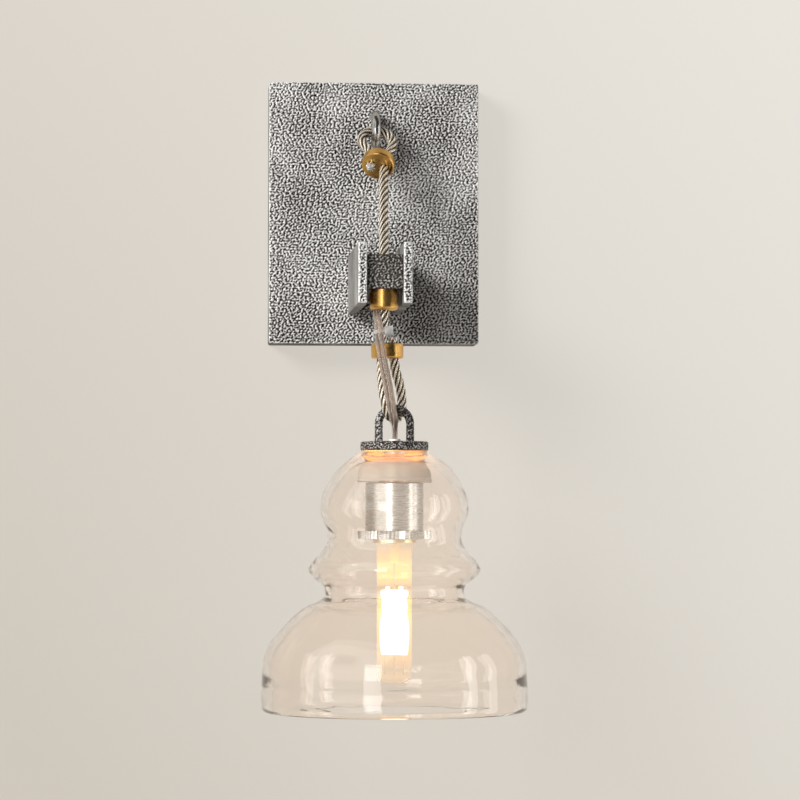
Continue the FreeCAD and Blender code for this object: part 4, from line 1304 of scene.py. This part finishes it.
class ShadeIron:
    """The hammered shackle and cap over the glass."""

    leg_gap: float = 0.0001
    leg_hole_below: float = 0.0002
    lead_bore: float = 0.0030
    lead_ahead: float = 0.0033
    nipple_bore: float = 0.0067
    nipple_depth: float = 0.0029

    def __init__(self, workshop: Workshop) -> None:
        """Model and fix both.

        Args:
            workshop: Hands out the finishes.
        """
        low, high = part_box("cap")
        axis = (low + high) / 2
        iron = HammeredIron(axis)
        workshop.fix(iron.shackle(), "hammered_steel", Body.SHADE, ["shackle"], ROUND_ANGLE)
        foot, top = iron.legs - self.leg_hole_below, high.z + PAST
        holes = [(iron.bar + self.leg_gap, axis.x + side * iron.arch, axis.y, foot, top) for side in (-1, 1)]
        holes.append((self.lead_bore, axis.x, axis.y - self.lead_ahead, low.z - PAST, top))
        holes.append((self.nipple_bore, axis.x, axis.y, low.z - PAST, low.z + self.nipple_depth))
        workshop.fix(iron.disc(low, high, holes), "hammered_steel", Body.SHADE, ["cap"], ROUND_ANGLE)


@dataclass
class SteelRope:
    """A rope of six strands, each of seven wires, round a core.

    Attributes:
        name: The piece's name.
        route: The rope's chosen points.
        node: The part that it stands for.
        body: The moving group that carries it.
        cut_first: Whether its cut end is the first point and not the last.
        radius: Half the rope's thickness.
        lay: Length in which a strand goes once round.
        wire_lay: Length in which a wire goes once round its strand.
        strands: Number of strands.
        wires: Number of wires in a strand.
        strand_share: A strand's radius as a share of the rope's.
        wire_bulge: How far a wire stands out, as a share of the strand's radius.
        pitch: Length of the faces.
        tip: Length over which the cut end is rounded.
        flare: How much the strands spread at the cut end.
        core_share: The core's radius as a share of a strand's, and how much it grows at the cut end.
        lay_shade: Brightness of a strand's crest, as a relief, which sets its painted highlight.
    """

    name: str
    route: Sequence[Place]
    node: str
    body: Body
    cut_first: bool
    radius: float = 0.00305
    lay: float = 0.0316
    wire_lay: float = 0.012
    strands: int = 6
    wires: int = 7
    strand_share: float = 0.315
    wire_bulge: float = 0.01
    pitch: float = 0.0007
    tip: float = 0.0022
    flare: float = 0.12
    core_share: tuple[float, float] = (1.1, 1.2)
    lay_shade: float = 0.8

    def build(self) -> bpy.types.Object:
        """Model the strands.

        Returns:
            The new object, with the relief for its painted groove shade and crest highlight stored.
        """
        line, along = even_line(route_line(self.name, self.route), self.pitch)
        side, other = carried_normals(line, (1.0, 0.0, 0.0))
        to_cut = along if self.cut_first else along[-1] - along
        near = np.clip(1.0 - to_cut / self.tip, 0.0, 0.95)
        taper = (1.0 + self.flare * near) * (1.0 - near**8)
        strand_radius = self.radius * self.strand_share
        circle = self.radius - strand_radius
        angles = even_angles(self.wires * 3)
        bulge = 1.0 - self.wire_bulge + self.wire_bulge * np.cos(self.wires * angles)
        vertices, faces = [], []
        for k in range(self.strands):
            turn = math.tau * (k / self.strands) + math.tau * along / self.lay
            outward = np.cos(turn)[:, None] * side + np.sin(turn)[:, None] * other
            middle = line + outward * (circle * taper)[:, None]
            heading = directions_of(middle)
            first = outward - heading * np.sum(outward * heading, axis=1, keepdims=True)
            first /= np.linalg.norm(first, axis=1, keepdims=True)
            second = np.cross(heading, first)
            twist = -math.tau * along / self.wire_lay
            sections = round_section(angles[None, :] + twist[:, None])
            sections *= (strand_radius * taper[:, None] * bulge[None, :])[..., None]
            made, new_faces = swept(middle, first, second, sections, sum(len(v) for v in vertices))
            vertices.append(made)
            faces += new_faces
        share, growth = self.core_share
        core = round_section(even_angles(CORE_SIDES), strand_radius * share)
        cores = core[None] * (taper * (1.0 + growth * near))[:, None, None]
        made, new_faces = swept(line, side, other, cores, sum(len(v) for v in vertices))
        faces += new_faces
        vertices.append(made)
        # Painted shade and highlight: the relief grows with distance from the rope's middle, and the cut end
        # is set to full
        values = []
        for strand in vertices:
            reach = np.linalg.norm(strand.reshape(len(line), -1, 3) - line[:, None], axis=2)
            level = np.clip(reach / (self.radius * taper[:, None]), 0.0, 1.0) * self.lay_shade
            values.append(np.where(to_cut[:, None] < self.tip, 1.0, level).ravel())
        obj = from_lists(self.name, np.concatenate(vertices), faces)
        paint(obj, np.concatenate(values))
        return obj


@dataclass
class ClearLead:
    """A flat twin lead: two cores in a clear sheath.

    Attributes:
        name: The piece's name.
        route: The lead's chosen points.
        node: The part that it stands for.
        turns: Angle of its flat side from the X axis, in degrees, at even places along it.
        widths: Share of the full width at the same places.
        width: Its full width.
        thickness: Its thickness over a core.
        core_radius: Half a core's thickness.
        pitch: Length of the faces.
        lobe_turn: Half the angle that each side's round outline covers, in degrees.
        lobe_points: Points on that outline.
    """

    name: str
    route: Sequence[Place]
    node: str
    turns: Sequence[float]
    widths: Sequence[float]
    width: float = 0.0057
    thickness: float = 0.0030
    core_radius: float = 0.0006
    pitch: float = 0.0006
    lobe_turn: float = 140.0
    lobe_points: int = 13

    def build(self) -> tuple[bpy.types.Object, bpy.types.Object, np.ndarray]:
        """Model the sheath and its cores.

        Returns:
            The sheath, the cores, and the points that both follow.
        """
        line, along = even_line(route_line(self.name, self.route), self.pitch)
        share = along / along[-1]
        stops = np.linspace(0.0, 1.0, len(self.turns))
        turn = np.radians(np.interp(share, stops, self.turns))
        wide = np.interp(share, stops, self.widths)
        side, other = carried_normals(line, (1.0, 0.0, 0.0))
        flat = np.cos(turn)[:, None] * side + np.sin(turn)[:, None] * other
        deep = np.cross(directions_of(line), flat)
        radius = self.thickness / 2
        reach = math.radians(self.lobe_turn)
        lobe = round_section(np.linspace(-reach, reach, self.lobe_points), radius)
        spread = (self.width * wide / 2 - radius)[:, None]
        right = np.repeat(lobe[None], len(line), axis=0)
        left = -right.copy()
        right[..., 0] += spread
        left[..., 0] -= spread
        sections = np.concatenate([right, left], axis=1)
        vertices, faces = swept(line, flat, deep, sections, 0)
        sheath = from_lists(self.name + "_sheath", vertices, faces)
        circle = round_section(even_angles(CORE_SIDES), self.core_radius)
        core_vertices, core_faces = [], []
        for way in (-1, 1):
            section = np.repeat(circle[None], len(line), axis=0).copy()
            section[..., 0] += way * spread
            made, new_faces = swept(line, flat, deep, section, sum(len(v) for v in core_vertices))
            core_vertices.append(made)
            core_faces += new_faces
        cores = from_lists(self.name + "_cores", np.concatenate(core_vertices), core_faces)
        return sheath, cores, line


class Ropes:
    """The looped steel rope, the clear lead beside it and the tie round both."""

    def __init__(self, workshop: Workshop) -> None:
        """Model and fix the ropes and the tie, and model the leads.

        Args:
            workshop: Hands out the finishes.
        """
        ropes = (
            SteelRope("upper_rope", UPPER_ROPE_ROUTE, "steel_rope_upper", Body.WALL, cut_first=True),
            SteelRope("lower_rope_strands", LOWER_ROPE_ROUTE, "steel_rope_lower", Body.ROPE, cut_first=False),
        )
        for rope in ropes:
            workshop.fix(rope.build(), "rope_steel", rope.body, [rope.node], ROUND_ANGLE)
        self.tie(workshop)
        self.lead(
            workshop,
            ClearLead(
                "lead_upper", LEAD_UPPER_ROUTE, "lead_upper", (90.0, 80.0, 45.0, 20.0, 5.0, 0.0, 0.0),
                (0.74, 0.78, 0.9, 0.96, 1.0, 1.0, 1.0),
            ),
            (Body.WALL, Body.ROPE), TIED_BELOW,
        )
        self.lead(
            workshop,
            ClearLead(
                "lead_lower", LEAD_LOWER_ROUTE, "lead_lower", (0.0, 0.0, 0.0, 0.0, 30.0, 70.0, 90.0),
                (1.0, 1.0, 1.0, 1.0, 0.94, 0.8, 0.74),
            ),
            (Body.ROPE, Body.SHADE), UNTIED,
        )

    def tie(self, workshop: Workshop) -> None:
        """Model the band round rope and lead, and the head that it is drawn through.

        Args:
            workshop: Hands out the finishes.
        """
        outline = smooth_line(TIE_OUTLINE, 6)
        line = np.array([(x, y, TIE_HEIGHT + TIE_SLOPE * x) for x, y in outline])
        upward = np.tile(np.array([0.0, 0.0, 1.0]), (len(line), 1))
        outward = np.cross(upward, directions_of(line))
        half = np.array([TIE_THICKNESS, TIE_BAND_HEIGHT]) / 2
        section = np.array([(-1, -1), (1, -1), (1, 1), (-1, 1)]) * half
        vertices, faces = swept(line, outward, upward, np.repeat(section[None], len(line), axis=0), 0)
        workshop.fix(from_lists("tie_band", vertices, faces), "clear_tie", Body.ROPE, ["cable_tie"])
        head = boxed(TIE_HEAD_LOW, TIE_HEAD_HIGH)
        head.name = head.data.name = "tie_head"
        apply_modifier(head, "BEVEL", width=TIE_HEAD_EDGE, segments=4)
        workshop.fix(head, "clear_tie", Body.ROPE, (), ROUND_ANGLE)

    def lead(self, workshop: Workshop, lead: ClearLead, bodies: tuple[Body, Body], tied: float) -> None:
        """Model one stretch of lead and give its sheath and cores their finishes.

        Args:
            workshop: Hands out the finishes.
            lead: The stretch of lead.
            bodies: The bodies at its upper and lower ends. Not used.
            tied: Height below which it would move with the lower body. Not used.
        """
        sheath, cores, line = lead.build()
        for piece, slot in ((sheath, "clear_lead"), (cores, "copper_core")):
            piece.data.materials.append(workshop.materials[slot])
            smooth(piece, ROUND_ANGLE)
            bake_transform(piece)
        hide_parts(lead.node)
        length = float(np.linalg.norm(np.diff(line, axis=0), axis=1).sum())
        LOG.info("lead %s: %.4f m", lead.name, length)


class Shade:
    """The pressed glass bell and the frosted dome under its top."""

    steps: int = 220
    wall: float = 0.0044
    band: float = 0.0066
    band_height: float = 0.015
    band_pitch: float = 0.0015
    spans: int = 5
    top_wall: float = 0.0046
    hole: float = 0.007
    ceiling_radius: float = 0.014
    bead_steps: int = 12
    skin: float = 0.0012
    dome_hole: float = 0.0056
    dome_steps: int = 96
    ripple: float = 0.00014
    wave_count: int = 26
    wave_seed: int = 11
    wave_lobes: tuple[int, int] = (2, 11)
    wave_lengths: tuple[float, float] = (0.008, 0.03)
    calm_radius: float = 0.016
    calm_width: float = 0.01
    crest_share: float = 0.2

    def __init__(self, workshop: Workshop) -> None:
        """Model and fix both.

        Args:
            workshop: Hands out the finishes.
        """
        low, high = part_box("glass_shade")
        centre = (low + high) / 2
        radius = (high.x - low.x) / 2
        height = high.z - low.z
        inside = radius - self.wall
        outer = smooth_line([(radius * r, high.z - height * h) for r, h in GLASS_OUTER_SHARES], self.spans)
        inner = smooth_line([(inside * r, high.z - height * h) for r, h in GLASS_INNER_SHARES], self.spans)
        band = radius - self.band
        bead = (radius * GLASS_OUTER_SHARES[-1][0] - band) / 2
        bead_z = outer[-1][1]
        rim = []
        for k in range(1, self.bead_steps):
            turn = math.pi * k / self.bead_steps
            rim.append((band + bead + bead * math.cos(turn), bead_z - (bead_z - low.z) * math.sin(turn)))
        band_line = [(band, bead_z), (band, low.z + self.band_height), inner[0]]
        band_line = dense_line(band_line, self.band_pitch)
        ceiling = high.z - self.top_wall
        mouth = [(self.hole, high.z)]
        top = [(self.ceiling_radius, ceiling), (self.hole, ceiling)]
        profile = mouth + outer + rim + band_line + inner[1:] + top + mouth
        glass = lathe("glass_bell", profile, self.steps, centre)
        self.wobble(glass, centre)
        workshop.fix(glass, "shade_glass", Body.SHADE, ["glass_shade"], BLOCK_ANGLE)
        self.collar(workshop)

    def collar(self, workshop: Workshop) -> None:
        """Model the frosted dome under the glass's top.

        Args:
            workshop: Hands out the finishes.
        """
        low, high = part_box("frosted_collar")
        outside = smooth_line([(radius, high.z - depth) for radius, depth in COLLAR_OUTLINE], self.spans)
        skin, hole = self.skin, self.dome_hole
        inside = [(radius - skin, max(height - skin, low.z)) for radius, height in reversed(outside[:-1])]
        profile = [(hole, high.z)] + outside + [(outside[-1][0] - skin, low.z)] + inside
        profile += [(hole, high.z - skin), (hole, high.z)]
        dome = lathe("frosted_dome", profile, self.dome_steps, (low + high) / 2)
        workshop.fix(dome, "frosted_plastic", Body.SHADE, ["frosted_collar"], BLOCK_ANGLE)

    def wobble(self, obj: bpy.types.Object, centre: Vector) -> None:
        """Give the glass the slow waves of a pressed wall, which never stand out past its outline."""
        places = places_of(obj)
        offset = places - np.array(centre)
        turn = np.arctan2(offset[:, 1], offset[:, 0])
        reach = np.hypot(offset[:, 0], offset[:, 1])
        random = np.random.default_rng(self.wave_seed)
        wave = np.zeros(len(places))
        for _ in range(self.wave_count):
            lobes = random.integers(*self.wave_lobes)
            length = random.uniform(*self.wave_lengths)
            wave += np.cos(lobes * turn + places[:, 2] * math.tau / length + random.uniform(0, math.tau))
        wave /= math.sqrt(self.wave_count / 2)
        calm = np.clip((reach - self.calm_radius) / self.calm_width, 0.0, 1.0)
        shift = np.clip(wave, -2.0, 2.0) * self.ripple * calm
        outward = np.where(shift > 0, -self.crest_share, 1.0) * shift
        places[:, 0] += np.cos(turn) * outward
        places[:, 1] += np.sin(turn) * outward
        set_places(obj, places)


class LitBulb:
    """The glow round the lit filaments."""

    steps: int = 48
    profile: Sequence[tuple[float, float]] = (
        (0.0, -0.2362), (0.0070, -0.2362), (0.0086, -0.2372), (0.0084, -0.2395), (0.0076, -0.2430),
        (0.0074, -0.2460), (0.0078, -0.2500), (0.0084, -0.2550), (0.0088, -0.2610), (0.0088, -0.2660),
        (0.0084, -0.2710), (0.0080, -0.2745), (0.0078, -0.2752), (0.0, -0.2752),
    )

    def __init__(self, workshop: Workshop) -> None:
        """Model and fix the glow.

        Args:
            workshop: Hands out the finishes.
        """
        low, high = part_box("bulb_glass")
        axis = (low + high) / 2
        glow = lathe("filament_haze", self.profile, self.steps, axis)
        workshop.fix(glow, "filament_glow", Body.BULB, (), BLOCK_ANGLE)
        glow.data.materials[0] = HAZE.make()


@dataclass(frozen=True)
class Softbox:
    """A flat lamp that faces the sconce.

    Attributes:
        name: The lamp's name.
        place: Its middle.
        width: Its width.
        height: Its height.
        power: Its power in watts.
        colour: Its colour.
        mirrored: Whether it only shows as a reflection, or else only lights.
    """

    name: str
    place: Place
    width: float
    height: float
    power: float
    colour: Colour = (1.0, 0.99, 0.975)
    mirrored: bool = True

    def add(self, aim: Place) -> None:
        """Set the lamp up, facing a place."""
        data = bpy.data.lights.new(self.name, "AREA")
        data.shape = "RECTANGLE"
        data.size, data.size_y = self.width, self.height
        data.energy = self.power
        data.color = self.colour
        lamp = linked(self.name, data)
        lamp.location = self.place
        lamp.rotation_mode = "QUATERNION"
        lamp.rotation_quaternion = (Vector(aim) - Vector(self.place)).to_track_quat("-Z", "Y")
        if self.mirrored:
            lamp.visible_diffuse = False
        else:
            lamp.visible_glossy = lamp.visible_transmission = False


SOFTBOXES = (
    Softbox("key", (-2.1, -1.75, 1.25), 1.1, 1.1, 168.0, (1.0, 0.985, 0.96), mirrored=False),
    Softbox("key_sheen", (-2.1, -1.75, 1.25), 4.2, 4.2, 55.0),
    Softbox("window", (-0.80, -2.05, -0.10), 0.55, 1.1, 8.0),
    Softbox("strip_near", (1.75, -0.92, -0.25), 0.34, 2.2, 8.0),
    Softbox("strip_side", (2.0, -0.04, -0.25), 0.6, 2.2, 9.0),
)


class Stage:
    """Wall, floor, lamps, world and camera."""

    plane_size: float = 5.0
    sky_colour: Colour = (0.98, 0.93, 0.86)
    dim: float = 0.045
    bright: float = 0.9
    aim: Place = (0.0, -0.08, -0.12)
    eye: Place = (-0.1364, -1.982, -0.1994)
    heading: Place = (0.0780, 1.0, 0.0413)
    lens: float = 139.95
    sensor: float = 36.0
    clip: tuple[float, float] = (0.05, 20.0)

    def __init__(self) -> None:
        """Set the stage."""
        # The wall's two colours and its glow strength are painted light, brighter up on the right
        paint_look = Wallpaint("wall_paint", (0.0728, 0.0673, 0.0596), (0.0990, 0.0948, 0.0882), 7.36).make()
        for name, place, turn in (
            ("stage_wall", (0.0, 0.0006, 0.0), (math.pi / 2, 0.0, 0.0)),
            ("stage_floor", (0.0, -2.0, -1.5), (0.0, 0.0, 0.0)),
        ):
            clear_selection()
            bpy.ops.mesh.primitive_plane_add(size=self.plane_size, location=place, rotation=turn)
            plane = bpy.context.object
            plane.name = plane.data.name = name
            apply_place(plane)
            plane.data.materials.append(paint_look)
        for softbox in SOFTBOXES:
            softbox.add(self.aim)
        self.sky()
        self.camera()

    def sky(self) -> None:
        """A plain world, bright to the camera and in and through glass, and dim as a light and in metal."""
        world = bpy.data.worlds.new("pale_world")
        world.use_nodes = True
        nodes, links = world.node_tree.nodes, world.node_tree.links
        path = nodes.new("ShaderNodeLightPath").outputs
        seen = path["Is Camera Ray"]
        for name in ("Is Transmission Ray", "Is Singular Ray"):
            either = nodes.new("ShaderNodeMath")
            either.operation = "MAXIMUM"
            links.new(seen, either.inputs[0])
            links.new(path[name], either.inputs[1])
            seen = either.outputs[0]
        strength = nodes.new("ShaderNodeMapRange")
        strength.inputs["To Min"].default_value = self.dim
        strength.inputs["To Max"].default_value = self.bright
        background = nodes["Background"]
        background.inputs["Color"].default_value = (*self.sky_colour, 1.0)
        links.new(seen, strength.inputs["Value"])
        links.new(strength.outputs["Result"], background.inputs["Strength"])
        bpy.context.scene.world = world

    def camera(self) -> None:
        """The photograph's viewpoint."""
        data = bpy.data.cameras.new("camera")
        data.lens = self.lens
        data.sensor_width = self.sensor
        data.clip_start, data.clip_end = self.clip
        camera = linked("camera", data)
        camera.location = self.eye
        camera.rotation_mode = "QUATERNION"
        camera.rotation_quaternion = Vector(self.heading).to_track_quat("-Z", "Y")
        bpy.context.scene.camera = camera
        bpy.context.scene.view_settings.view_transform = "Standard"


def main() -> None:
    """Build the sconce, piece by piece."""
    logging.basicConfig(level=logging.INFO, format="%(message)s")
    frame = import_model()
    clear_selection()
    workshop = Workshop(frame)
    WallPlate(workshop)
    Arm(workshop)
    ShadeIron(workshop)
    Ropes(workshop)
    Shade(workshop)
    LitBulb(workshop)
    Stage()


if __name__ == "__main__":
    main()
